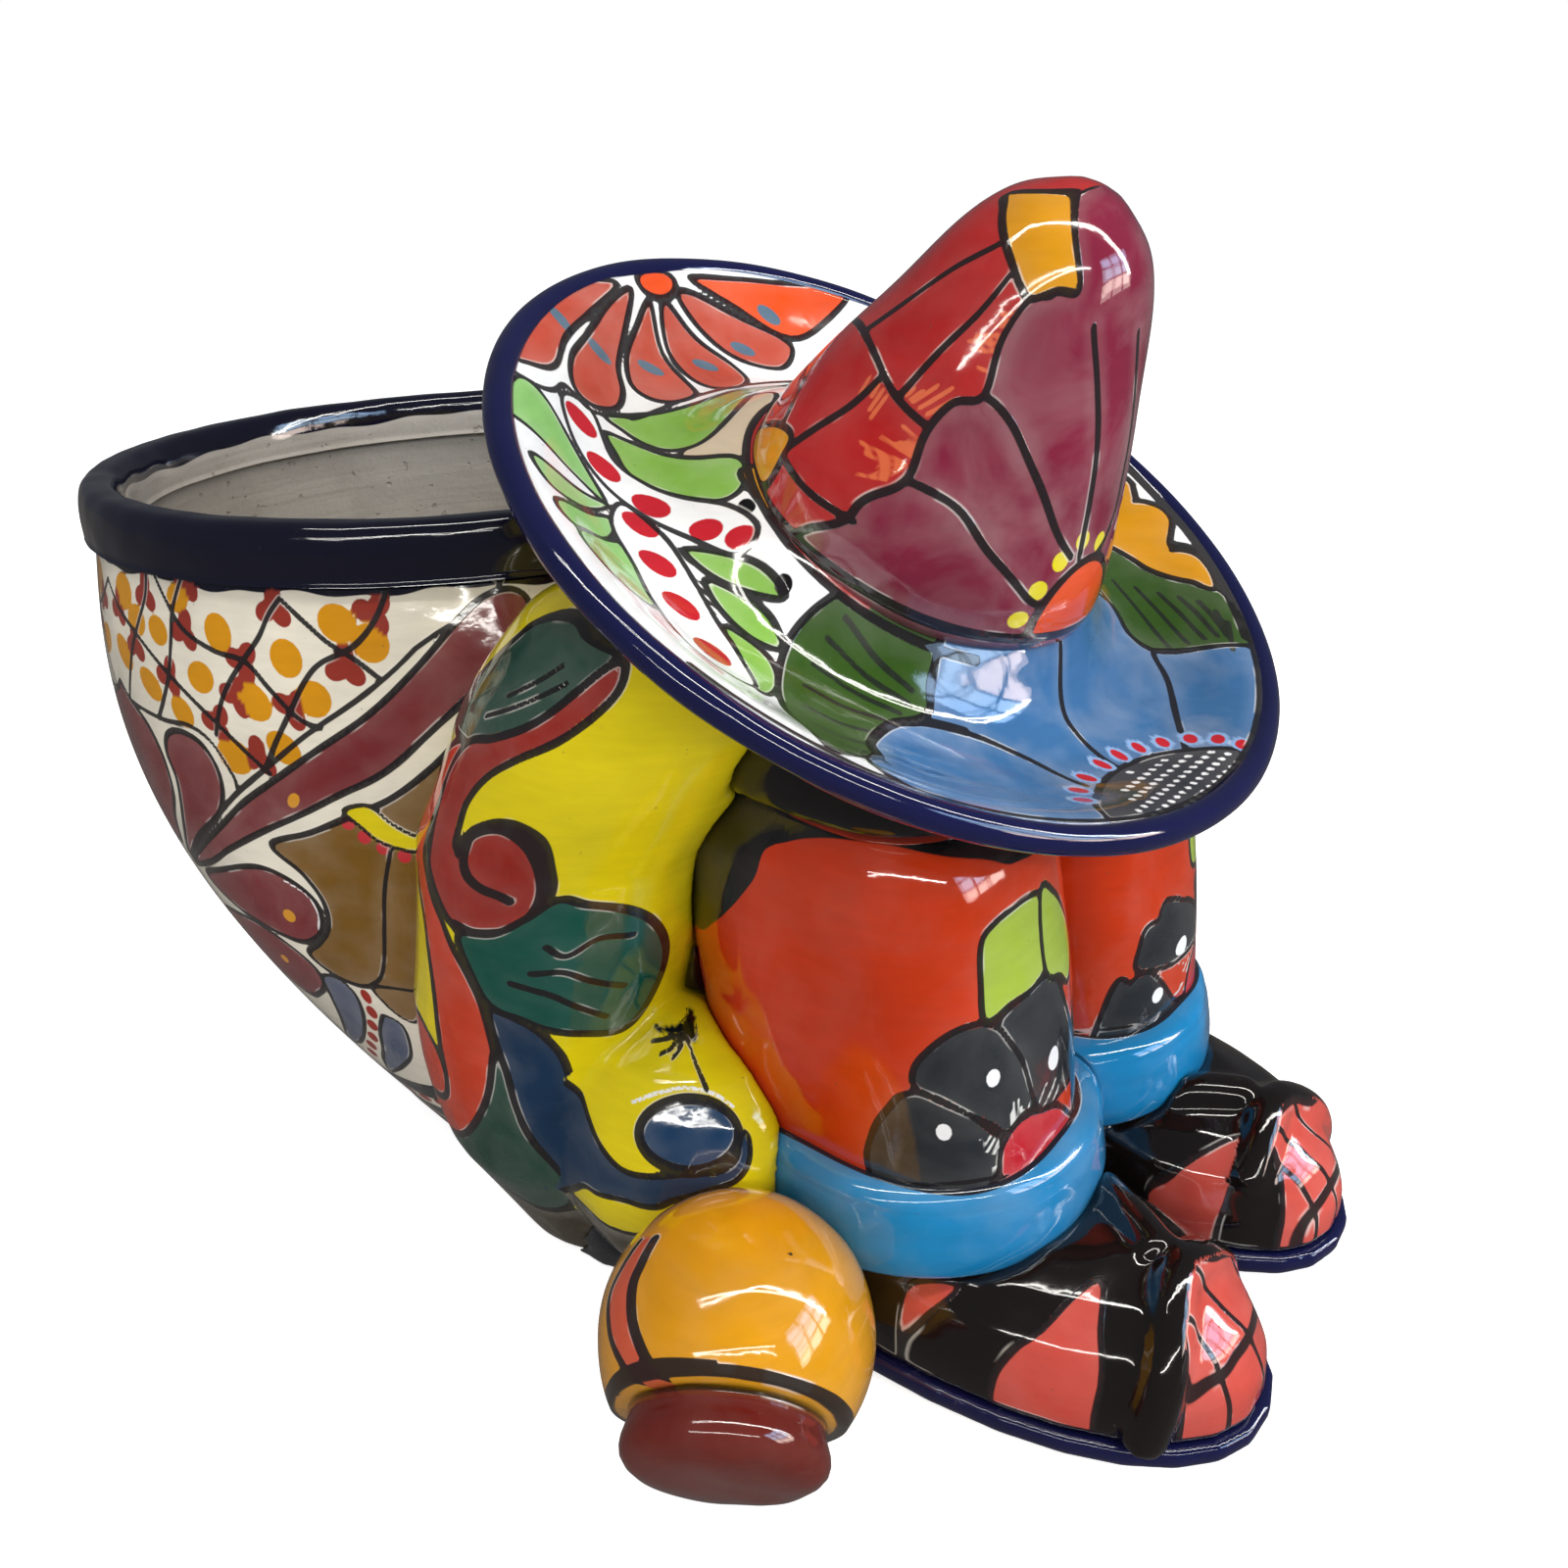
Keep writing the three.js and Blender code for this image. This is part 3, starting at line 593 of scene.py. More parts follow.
# %% Bare clay shader
def bare_clay(name):
    material = new_material(name)
    make = node_maker(material)
    place = make("TexCoord").outputs["Object"]
    paint = make("Attribute", attribute_name="paint").outputs["Color"]
    blotch = noise(make, place, 16.0, 5.0, 0.6, 0.8)
    tinted = mixed(make, "MIX", spread(make, blotch, 0.42, 0.72, 0.0, 0.45), paint, (0.20, 0.175, 0.15, 1.0))
    grain = noise(make, place, 420.0, 3.0, 0.7)
    dusty = mixed(make, "MIX", grain, (0.86, 0.85, 0.83, 1.0), (1.0, 1.0, 1.0, 1.0))
    tinted = mixed(make, "MULTIPLY", 1.0, tinted, dusty)
    pits = spread(make, noise(make, place, 240.0, 1.0), 0.7, 0.76, 0.0, 1.0)
    tinted = mixed(make, "MIX", maths(make, "MULTIPLY", pits, 0.25), tinted, (0.12, 0.10, 0.08, 1.0))
    turned = make("Mapping", {"Vector": place, "Scale": (6.0, 6.0, 210.0)})
    rings = maths(make, "MULTIPLY", noise(make, turned.outputs["Vector"], 1.0, 2.0), 1.5)
    height = maths(make, "SUBTRACT", maths(make, "ADD", grain, rings), maths(make, "MULTIPLY", pits, 2.0))
    bump = make("Bump", {"Height": height, "Strength": 0.6, "Distance": 0.0006})
    matt = spread(make, blotch, 0.4, 0.7, 0.62, 0.85)
    surface = {"Base Color": tinted, "Roughness": matt, "Normal": bump.outputs["Normal"]}
    make("OutputMaterial", {"Surface": make("BsdfPrincipled", surface).outputs[0]})
    return material


SLOTS = {m["slot"] for m in frame["record"]["materials"]}
glazes = {slot: painted_glaze(slot) for slot in SLOTS if slot != "bare_clay"}
glazes["bare_clay"] = bare_clay("bare_clay")
node_slot = {s["node"]: s["material_slot"] for s in frame["record"]["subparts"]}
made = []


def finish_piece(thing, *nodes, materials=None):
    """Gives a piece its glaze, its place in the solid's stead and its body, and says how it fits."""
    slot = node_slot[nodes[0]]
    for material in materials or [glazes[slot]]:
        thing.data.materials.append(material)
    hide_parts(*nodes)
    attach(thing, "root")
    points = points_of(thing)
    boxes = np.array([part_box(node) for node in nodes]) / MM
    low, high = boxes[:, 0].min(0), boxes[:, 1].max(0)
    over = max((low - points.min(0)).max(), (points.max(0) - high).max())
    set_points(thing, np.clip(points, low, high))
    made.append(thing.name)
    print(f"{thing.name}: {len(points)} points, {over:+.1f} mm over its solid")


# %% [markdown]
# The pot leans back: each ring of its wall is a circle whose middle moves backwards as it
# rises. The outside is painted, so it has a point about every millimetre, and the inside is
# bare, so it has fewer. The wall is laid flat for the painter by measuring along the belly
# from the figure's right side, forwards to the right and backwards to the left.

# %% Pot wall
POT_AROUND = 860
BELLY = 150.0
SEAM = math.radians(100)


def pot_ring(z, radius, count=POT_AROUND):
    t = SEAM - 2 * math.pi * np.arange(count) / count
    return np.stack([-radius * np.cos(t), float(pot_centre(z)) - radius * np.sin(t), np.full(count, z)], 1)


outside = [(z, float(pot_radius(z))) for z in np.linspace(FLOOR, BAND_BOTTOM, 196)]
inner_levels = np.concatenate([np.linspace(BAND_BOTTOM, 205, 22), np.linspace(195, FLOOR, 24)])
inside = [(z, float(pot_radius(z)) - WALL) for z in inner_levels]
wall_grid = np.stack([pot_ring(z, r) for z, r in inside + outside])
wall_grid = wall_grid[:, ::-1]
swell_in = np.stack([lumps(ring, 90, 3) for ring in wall_grid])[..., None] * 0.5 - 0.5
axis = np.stack([np.zeros(len(wall_grid)), pot_centre(wall_grid[:, 0, 2]), wall_grid[:, 0, 2]], 1)[:, None]
outward = wall_grid - axis
outward /= np.linalg.norm(outward, axis=2, keepdims=True)
wall_grid[len(inside) :] += (outward * swell_in)[len(inside) :]
pot_wall = grid_piece("pot_wall_painted", wall_grid, looped=True)


def pot_flat(points):
    t = np.arctan2(pot_centre(points[:, 2]) - points[:, 1], -points[:, 0])
    t = np.where(t > SEAM, t - 2 * math.pi, t)
    return np.stack([t * BELLY, points[:, 2]], 1)


print("wall points", len(pot_wall.data.vertices))

# %% [markdown]
# The wall's pattern has a net of black lines under the rim, with amber drops in its meshes and
# brick-red buds on its knots, and big petals that fan out from a hidden middle low at the side.
# Only one quarter of it shows, so the other quarters repeat it in a mirror, as such painters
# do, and an oval of the same net fills the back.

# %% Wall pattern
NET_LINES = [
    [(-30, 223), (-18, 214), (-5, 208), (8, 201), (22, 193), (36, 184), (46, 176), (52, 171)],
    [(10, 231), (18, 221), (26, 213), (40, 208), (52, 206), (60, 198), (68, 190), (75, 187)],
    [(69, 226), (77, 219), (84, 213), (92, 208), (99, 202)],
    [(2, 181), (8, 188), (14, 197), (18, 208), (21, 219), (28, 231)],
    [(33, 181), (38, 191), (44, 199), (52, 207), (59, 214), (64, 221), (69, 226)],
    [(52, 174), (58, 182), (66, 192), (73, 201), (80, 207), (92, 212), (101, 220), (108, 231)],
    [(-20, 183), (-14, 193), (-8, 203), (-2, 211), (5, 221), (7, 231)],
]
NET_KNOTS = [
    (5, 222), (14, 197), (26, 213), (35, 185), (51, 206), (67, 193), (66, 223), (88, 206), (46, 195),
    (-6, 204), (49, 176), (-18, 214), (30, 229), (101, 222),
]
NET_DROPS = [
    (-12, 220), (11, 211), (24, 223), (42, 214), (68, 208), (88, 219), (98, 213), (-17, 199), (1, 192),
    (18, 186), (31, 199), (52, 194), (75, 196), (60, 180), (39, 175), (-3, 212),
]


def wall_quarter(c):
    c.fill([
        (-40, 232), (-40, 184), (-18, 182), (5, 181), (20, 182), (30, 178), (36, 168), (37, 164),
        (50, 172), (70, 185), (93, 198), (112, 211), (136, 232),
    ], CREAM, 1.6)
    for line in NET_LINES:
        c.stroke(line, 1.8)
    for u, v in NET_DROPS:
        c.dot(u, v, 6.7 + 0.9 * math.sin(u), 5.5 + 0.7 * math.cos(v), AMBER, turn=(u * 7) % 60 - 30)
    for u, v in NET_KNOTS:
        for k in range(3):
            t = math.radians(40 + 118 * k + (u * 9) % 50)
            c.dot(u + 3.4 * math.cos(t), v + 3.2 * math.sin(t), 4.1, 3.3, BUD, turn=math.degrees(t))
    c.fill([
        (-34, 186), (-20, 182), (-8, 176), (-3, 166), (-5, 154), (-14, 143), (-28, 128), (-34, 150),
    ], MAROON)
    c.fill([
        (-24, 124), (-12, 137), (-3, 149), (2, 160), (1, 169), (5, 176), (14, 179), (24, 177), (29, 170),
        (28, 161), (21, 152), (8, 143), (-8, 132),
    ], MAROON)
    c.fill([
        (42, 146), (60, 152.5), (76, 159), (93, 166), (112, 178), (140, 200), (200, 226), (262, 228),
        (262, 92), (120, 90), (68, 93), (55, 93.5), (44, 92), (35, 95), (30, 102), (40, 109), (49, 117),
        (53, 127), (50, 137),
    ], OCHRE)
    c.stroke([(86, 148), (79, 135), (72, 120), (65, 107), (58, 98), (50, 93)], 1.4)
    c.fill([(52, 93), (51, 86), (54, 80), (60, 79), (70, 88), (90, 92), (70, 94)], OCHRE, 1.4)
    c.fill([
        (75, 161), (84, 163), (90, 157), (98, 153), (112, 154), (112, 147), (94, 148), (84, 151),
        (79, 156),
    ], YELLOW, 1.5)
    for u, v in [(75, 157), (79, 152.5), (84, 149), (90, 146.5), (96, 145)]:
        c.dot(u, v, 2.6, 2.1, CHERRY, 40)
    c.fill([
        (-24, 121), (0, 135.5), (20, 148), (36, 159), (52, 168.5), (70, 179), (93, 192), (112, 206),
        (128, 219), (138, 225), (147, 226), (151, 221), (145, 212), (132, 201), (112, 187), (93, 174),
        (75, 166), (58, 158), (40, 150), (20, 140), (0, 129.5),
    ], MAROON)
    c.dot(58, 163, 3.2, 1.8, AMBER, 45)
    c.stroke([(-24, 123), (0, 139), (20, 151.5), (36, 163), (50, 172)], 1.8)
    c.fill([
        (-14, 120), (5, 128), (22, 134), (34, 136), (44, 133), (49.5, 127), (48, 119), (42, 112),
        (30, 107), (12, 109), (-6, 113),
    ], MAROON)
    c.streak([(40, 133), (47, 129), (48, 122), (44, 115)], WHITE, 1.0)
    c.dot(33, 118, 3.6, 2.2, AMBER, 35)
    c.fill([
        (-24, 102), (0, 108), (12, 107), (22, 102), (27, 95), (24, 87), (14, 80), (0, 75), (-20, 82),
    ], MAROON)
    c.dot(8, 93, 3.0, 1.6, AMBER, 30)
    c.fill([
        (30, 93), (36, 93), (39, 88), (36, 80), (28, 70), (16, 60), (2, 52), (-10, 49), (4, 60), (14, 70),
        (22, 82), (26, 90),
    ], DUSK, 1.5)
    c.fill([
        (46, 79), (51, 76), (48, 68), (40, 58), (28, 50), (15, 43), (3, 38), (12, 47), (24, 57), (34, 68),
        (42, 76),
    ], DUSK, 1.5)
    for u, v, t in [(44, 87, 60), (40, 79, 52), (33, 71, 46), (25, 63, 42), (16, 56, 38), (7, 49, 35)]:
        c.dot(u, v, 4.0, 2.1, BRICK, t)
    c.fill([(-34, 40), (0, 36), (40, 42), (80, 60), (120, 76), (262, 76), (262, 0), (-34, 0)], STONE, 1.5)
    c.fill([
        (-34, 33), (0, 29), (40, 34), (80, 50), (120, 64), (262, 64), (262, 55), (120, 56), (80, 43),
        (40, 27), (0, 22), (-34, 26),
    ], CREAM, 1.3)
    for k in range(14):
        u = -28 + 13 * k
        v = float(np.interp(u, [-34, 0, 40, 80, 120, 262], [29.5, 25.5, 30.5, 46.5, 60, 60]))
        c.dot(u, v, 5.2, 2.0, BRICK, 12)


def wall_back(c):
    middle = -math.pi / 2 * BELLY
    c.fill([(middle + u, v) for u, v in [(-46, 100), (0, 92), (46, 100), (46, 228), (-46, 228)]], OCHRE, 0)
    c.fill(oval(middle, 160, 34, 58, 0, 30), CREAM, 2.2, curved=False)
    for v in (126, 160, 194):
        c.stroke([(middle - 30, v - 22), (middle, v), (middle + 30, v + 22)], 1.8)
        c.stroke([(middle - 30, v + 22), (middle, v), (middle + 30, v - 22)], 1.8)
        for u, rise in [(0, -17), (-18, 0), (18, 0)]:
            c.dot(middle + u, v + rise, 6.5, 5.5, AMBER)
        for t in (45, 135, 225, 315):
            a = math.radians(t)
            c.dot(middle + 4.8 * math.cos(a), v + 4.8 * math.sin(a), 3.8, 3.0, BRICK, t)
    for side in (-1, 1):
        leaf = [(42, 196), (54, 176), (56, 150), (44, 120), (40, 150), (44, 176)]
        c.fill([(middle + side * u, v) for u, v in leaf], LEAF)
        c.stroke([(middle + side * u, v) for u, v in [(44, 190), (50, 160), (45, 128)]], 1.2)


wall_points = points_of(pot_wall)
wall_count = len(wall_points)
is_outside = np.zeros(wall_count, bool)
is_outside[len(inside) * POT_AROUND :] = True
outer_canvas = Canvas(pot_flat(wall_points[is_outside]), CREAM)
MIRROR_U = -28.0
BACK_U = -math.pi * BELLY
u = outer_canvas.flat[:, 0]
front, near, far = u > BACK_U / 2, u > MIRROR_U, u < BACK_U - MIRROR_U
quarters = [
    (front & near, lambda p: p),
    (front & ~near, lambda p: p * [-1, 1] + [2 * MIRROR_U, 0]),
    (~front & far, lambda p: p * [-1, 1] + [BACK_U, 0]),
    (~front & ~far, lambda p: p + [BACK_U - 2 * MIRROR_U, 0]),
]
for part, place in quarters:
    quarter_canvas = Canvas(outer_canvas.flat[part], CREAM)
    quarter_canvas.place = place
    wall_quarter(quarter_canvas)
    outer_canvas.take(part, quarter_canvas)
    outer_canvas.strokes += quarter_canvas.strokes
wall_back(outer_canvas)
dip_end = [(u, 227.4 + 0.7 * math.sin(u / 9) + 0.5 * math.sin(u / 3.7)) for u in np.arange(-700, 300, 3.0)]
outer_canvas.dab(dip_end + [(300, 240), (-700, 240)], RIM_NAVY)
inner_canvas = Canvas(pot_flat(wall_points[~is_outside]), CLAY)
whole = Canvas(np.zeros((wall_count, 2)), CREAM)
whole.take(is_outside, outer_canvas)
whole.take(~is_outside, inner_canvas)
dress(pot_wall, whole)
finish_piece(pot_wall, "pot_wall", materials=[glazes["painted_white"], glazes["bare_clay"]])
face_test(pot_wall, ~is_outside)
print("wall strokes", outer_canvas.strokes)

# %% [markdown]
# The rim is a fat roll laid on the wall, dipped in navy. It is never quite even, so its
# highlight breaks into dashes.

# %% Pot rim
RIM_MIDDLE, RIM_HALF, RIM_HEIGHT = 138.0, 8.5, 20.0
turn = np.linspace(0, math.pi, 60)
rim_profile = [
    (RIM_MIDDLE + RIM_HALF * np.sign(c) * abs(c) ** 0.6, BAND_BOTTOM + RIM_HEIGHT * max(0.0, s) ** 0.7)
    for c, s in zip(np.cos(turn), np.sin(turn))
]
rim_profile += [(129.5, 230.0), (138.0, 230.0), (146.5, 230.0)]
rim_at = np.full(len(rim_profile), float(pot_centre(BAND_BOTTOM)))
pot_rim = grid_piece("pot_rim_rolled", round_grid(rim_profile, 480, rim_at), looped=True)
uneven(pot_rim, 46, 0.5, 5)
uneven(pot_rim, 17, 0.3, 6)
rim_points = points_of(pot_rim)
rim_canvas = Canvas(rim_points[:, :2], RIM_NAVY)
rim_turn = np.arctan2(rim_points[:, 1] - rim_at[0], rim_points[:, 0]) * RIM_MIDDLE
rim_reach = np.hypot(rim_points[:, 0], rim_points[:, 1] - rim_at[0])
dip = 240 + 0.9 * np.sin(rim_turn / 17) + 0.6 * np.sin(rim_turn / 6.1 + 1)
undipped = (rim_reach < RIM_MIDDLE - 1) & (rim_points[:, 2] < dip + 2)
rim_canvas.paint[undipped] = CLAY
rim_canvas.accent[:] = RIM_NAVY
rim_canvas.spot[:] = -2.0
rim_canvas.spot[undipped] = (dip - rim_points[:, 2])[undipped]
dress(pot_rim, rim_canvas)
finish_piece(pot_rim, "pot_rim", materials=[glazes[node_slot["pot_rim"]], glazes["bare_clay"]])
face_test(pot_rim, undipped & (rim_points[:, 2] < dip - 2))

# %% [markdown]
# The foot is a thick slab with a hole for the water to drain. Its top is bare inside the pot,
# and its side carries the wall's dark wash down to the floor.

# %% Pot foot
DRAIN_RADIUS, DRAIN_BACK = 10.0, 42.0
t = 2 * math.pi * np.arange(320) / 320


def slab_ring(share, z):
    radius = DRAIN_RADIUS + share * (float(pot_radius(z)) - DRAIN_RADIUS)
    middle = DRAIN_BACK + share * (float(pot_centre(z)) - DRAIN_BACK)
    return np.stack([radius * np.cos(t), middle + radius * np.sin(t), np.full(320, z)], 1)


shares = np.linspace(0, 1, 22)
slab = [slab_ring(s, 0.0) for s in shares] + [slab_ring(1, z) for z in (1, 5, 9, 13)]
slab += [slab_ring(s, FLOOR) for s in shares[::-1]]
pot_base = grid_piece("pot_base_slab", np.stack(slab), looped=True)
base_points = points_of(pot_base)
base_canvas = Canvas(base_points[:, :2], CLAY)
base_rim = np.zeros(len(base_points), bool)
base_rim[21 * 320 : 26 * 320] = True
base_canvas.paint[base_rim] = STONE
dress(pot_base, base_canvas)
finish_piece(pot_base, "pot_base", materials=[glazes["bare_clay"], glazes["painted_white"]])
face_test(pot_base, base_rim)

# %% [markdown]
# The hat is three pieces on one leaning axis. The brim is a shallow dish with its valley
# nearer the crown, the roll closes its edge, and the crown is a tall blunt cone.

# %% Hat
HAT_LEAN = math.radians(31.8)
HAT_PLACE = np.array([0.0, -FRONT - 47.8, 250.0])
CROWN_BACK = math.radians(-2.3)
CROWN_PLACE = np.array([0.0, -5.0, 0.0])
BRIM_HOLE, BRIM_END, ROLL_MIDDLE, ROLL_RADIUS, ROLL_LEVEL = 46.0, 125.2, 128.3, 4.5, -3.75
BRIM_THICK = 7.5
brim_top = knot_curve([
    (46, 0), (59, -0.96), (72.3, -11.2), (90.7, -16), (107.7, -9.9), (119.5, -2.56), (132.8, 0.8),
])
crown_radius = knot_curve([
    (0, 58.7), (10, 56.9), (35, 47.8), (60, 37.9), (80, 29.5), (90, 23.6), (97, 17.1), (102, 9.4),
])


def tilted(points, angle, place):
    c, s = math.cos(angle), math.sin(angle)
    x, y, z = np.moveaxis(points, -1, 0)
    return np.stack([x, c * y - s * z, s * y + c * z], -1) + place


def untilted(points, angle, place):
    return tilted(points - place, -angle, 0)


under = [(r, float(brim_top(r)) - BRIM_THICK) for r in np.linspace(BRIM_HOLE, BRIM_END, 26)]
over = [(r, float(brim_top(r))) for r in np.linspace(BRIM_END, BRIM_HOLE, 78)]
brim_grid = tilted(round_grid(under + over, 720), HAT_LEAN, HAT_PLACE)
hat_brim = grid_piece("hat_brim_painted", brim_grid, looped=True)
uneven(hat_brim, 60, 0.9, 11)
roll = [
    (ROLL_MIDDLE + ROLL_RADIUS * math.cos(a), ROLL_LEVEL + ROLL_RADIUS * math.sin(a))
    for a in np.arange(28) * 2 * math.pi / 28
]
hat_edge = grid_piece("hat_edge_rolled", tilted(round_grid(roll, 640), HAT_LEAN, HAT_PLACE), looped=True)
uneven(hat_edge, 46, 0.5, 12)
crown_out = [
    (float(crown_radius(h)), h) for h in np.concatenate([np.linspace(0, 97, 84), [98.5, 100, 101.2, 102]])
]
crown_out += [(7.0, 103.2), (4.0, 104.0), (1.5, 104.3)]
crown_in = [(0.5, 96.0), (9.0, 94.0), (20.0, 80.0), (38.0, 40.0), (50.6, 0.0), (50.6, -4.0), (58.2, -4.0)]
crown_grid = tilted(round_grid(crown_in + crown_out, 420), CROWN_BACK, CROWN_PLACE)
hat_crown = grid_piece("hat_crown_painted", tilted(crown_grid, HAT_LEAN, HAT_PLACE))
uneven(hat_crown, 42, 1.0, 14)
print("hat points", len(hat_brim.data.vertices), len(hat_crown.data.vertices))

# %% [markdown]
# The brim is white under its pattern. A blue flower with a dotted half disc lies at the front,
# between two green fans. Ribbons with red dots and pale leaves lead back to an orange flower.
# The far side repeats the near one in a mirror, as the painter would when turning the hat.

# %% Brim pattern
BACK_PETALS = [
    ([
        (-88, 95), (-78, 91), (-68, 93), (-56, 103), (-38, 112), (-20, 121), (-36, 122.5), (-56, 116),
        (-76, 105),
    ], (-54.5, 108.5), -70),
    ([
        (-64, 88), (-60, 82), (-50, 81), (-42, 87), (-37, 96), (-27, 106), (-15, 119), (-28, 115),
        (-45, 105), (-58, 97),
    ], (-43, 100.5), -48),
    ([
        (-36, 90), (-33, 83), (-25, 79), (-15, 80), (-12, 87), (-13, 100), (-9, 115), (-20, 108),
        (-30, 100),
    ], (-22.5, 95), -32),
    ([(-2, 115), (-8, 106), (-10, 96), (-6, 83), (4, 79), (14, 83), (14, 92), (6, 103)], (2.5, 93), -30),
    ([(5, 116), (10, 105), (20, 92), (34, 85), (45, 90), (42, 97), (26, 108), (12, 116)], (24, 96), -34),
    ([
        (14, 120.5), (30, 108), (47, 94), (64, 94), (79, 99), (71, 105.5), (52, 112), (35, 117),
    ], (42, 103.5), -44),
]
BACK_LEAVES = [
    [(-85, 46), (-90, 55), (-101, 68), (-104, 74), (-96, 82), (-88, 86), (-82, 78), (-82, 62)],
    [(-85, 45), (-92, 49), (-101, 54), (-108, 57), (-109, 46), (-100, 43), (-92, 43)],
    [(-88, 40), (-96, 41), (-112, 41), (-113, 32), (-101, 31), (-93, 34)],
    [(-90, 30), (-98, 31), (-113, 30), (-115, 12), (-106, 4), (-98, 14), (-94, 24)],
]
RIBBONS = [
    ([
        (-72, 84), (-79, 70), (-80, 55), (-76.5, 40), (-72.5, 25), (-69, 10), (-61, 12), (-60, 24),
        (-63, 38), (-66, 50), (-68, 62), (-62, 80),
    ], [(-70, 76), (-74.5, 59), (-71.5, 41), (-68, 23), (-65, 13)]),
    ([
        (-79, 45), (-90, 38), (-96, 22), (-104, 5), (-108, -14), (-98, -28), (-90, -16), (-86, -2),
        (-81, 14), (-77, 30),
    ], [(-80, 36), (-87, 21), (-93, 5), (-99, -13)]),
]
SIDE_LEAVES = [
    [
        (-62.5, 72), (-55.5, 66), (-51.5, 56), (-49, 46), (-45.5, 36.5), (-48.5, 30.5), (-54.5, 26),
        (-59.6, 27), (-62.8, 34), (-66, 45), (-67.5, 56), (-65.5, 64),
    ],
    [(-76.5, 22), (-71, 15), (-67, 2), (-68, -9), (-73, -2), (-77, 10)],
    [(-79, 10), (-75, 0), (-73.5, -11), (-77, -20), (-82, -12), (-82.5, 0)],
    [(-85, -6), (-82, -20), (-88, -29), (-98, -31), (-96, -19), (-91, -10)],
]
BLUE_FIELD = [
    (-99, -66), (-85, -63), (-78, -56), (-66, -54.5), (-57, -58), (-50, -54), (-40, -44),
    (-20, -36), (20, -36),
    (50, -42), (64, -56), (57, -66), (57, -77), (68, -88), (79, -99), (88, -104), (62, -124), (22, -126),
    (-52, -122), (-76, -108), (-92, -90),
]
HALF_DISC = [
    (-47.3, -108), (-35.2, -104.4), (-23.6, -102), (-10.5, -101.8), (3.4, -105), (13.5, -112), (22, -123),
    (15, -127), (-10, -129), (-36, -125), (-51, -117),
]
HALF_DISC_DOTS = [
    (-44, -103.5), (-36.5, -100), (-25.8, -98), (-14, -97.4), (-4.6, -98.2), (4.4, -100), (12.4, -103.4),
    (19, -108.2), (22.6, -114), (24.5, -120),
]
FAR_FAN = [
    (70, -25), (92, -34), (92.5, -45), (91.7, -57), (93.6, -66.7), (95.3, -74), (93.5, -80),
    (88.5, -88), (79, -99),
    (68.7, -88), (59.8, -79), (56.8, -75.5), (56.5, -66.5), (62, -57), (64, -45), (62, -32),
]
AMBER_CLOUD = [
    (96, -22), (106, -16), (117, -17), (118, -21), (115.8, -24.5), (113, -28), (113, -28),
    (115, -32), (116, -37),
    (114, -42.5), (109, -46.3), (105, -49), (102.7, -52.2), (102.7, -52.2), (104.6, -56),
    (105, -60.5), (103, -65.5),
    (99.5, -70.3), (95.1, -74), (93.4, -71), (93.6, -66.7), (92.5, -62), (91.7, -57),
    (91.3, -50.6), (92, -44.8),
    (92, -38), (91, -28),
]
FOOT_RING = 59.6


def brim_side(c):
    for outline in BACK_LEAVES:
        c.fill(outline, LEAF, 1.7)
    c.fill([(-54, 50), (-48, 54), (-37, 55), (-14, 63), (-6, 58), (-24, 47), (-43.5, 34), (-50, 40)], SAND)
    c.fill([
        (-57.5, 78.5), (-46, 77.5), (-31, 75.5), (-17, 75), (6, 76), (-4, 67), (-15, 61.5), (-33, 54),
        (-43, 52), (-49, 56.5), (-52.5, 64), (-55, 72),
    ], GRASS)
    for outline in SIDE_LEAVES:
        c.fill(outline, GRASS)
    for outline, dots in RIBBONS:
        c.fill(outline, WHITE, 1.7)
        for k, (x, y) in enumerate(dots):
            small = outline is RIBBONS[0][0] and k > 2
            c.dot(x, y, 3.6 if small else 4.3, 4.6 if small else 6.2, CHERRY, 14)
    for x, y in [(-66.5, -6), (-58, 20)]:
        c.dot(x, y, 2.2, 3.0, BLACK, -20)
    c.stroke([
        (-93, 90), (-84, 84), (-76, 84), (-68, 87), (-62, 80), (-50, 77.5), (-45, 76), (-20, 79), (20, 80),
    ], 1.8)


def brim_fern(c):
    c.fill([
        (-38, -17), (-49, -19), (-57, -18), (-64.5, -17), (-71, -17.8), (-77.4, -21), (-83.7, -25.6),
        (-90.2, -31), (-97.5, -38.5), (-103, -47), (-107, -58), (-97, -62.5), (-85, -61), (-77.5, -55.4),
        (-66.5, -53.7), (-57, -57), (-52, -56.5), (-48.4, -51.3), (-43, -46), (-34, -36), (-32, -24),
    ], FERN, 2.4)
    for x, y, x2, y2 in [
        (-60, -24, -54, -50), (-66, -25, -57, -52), (-73, -28, -61, -53), (-80, -32, -67, -52),
        (-87, -38, -74, -54), (-93, -45, -81, -57), (-98, -53, -88, -59),
    ]:
        c.streak([(x, y), ((x + x2) / 2 - 1.5, (y + y2) / 2 - 1), (x2, y2)], FERN_VEIN, 1.5)


def brim_arc(radius, start, end, count):
    turn = np.radians(np.linspace(start, end, count))
    return np.stack([radius * np.cos(turn), radius * np.sin(turn)], 1)


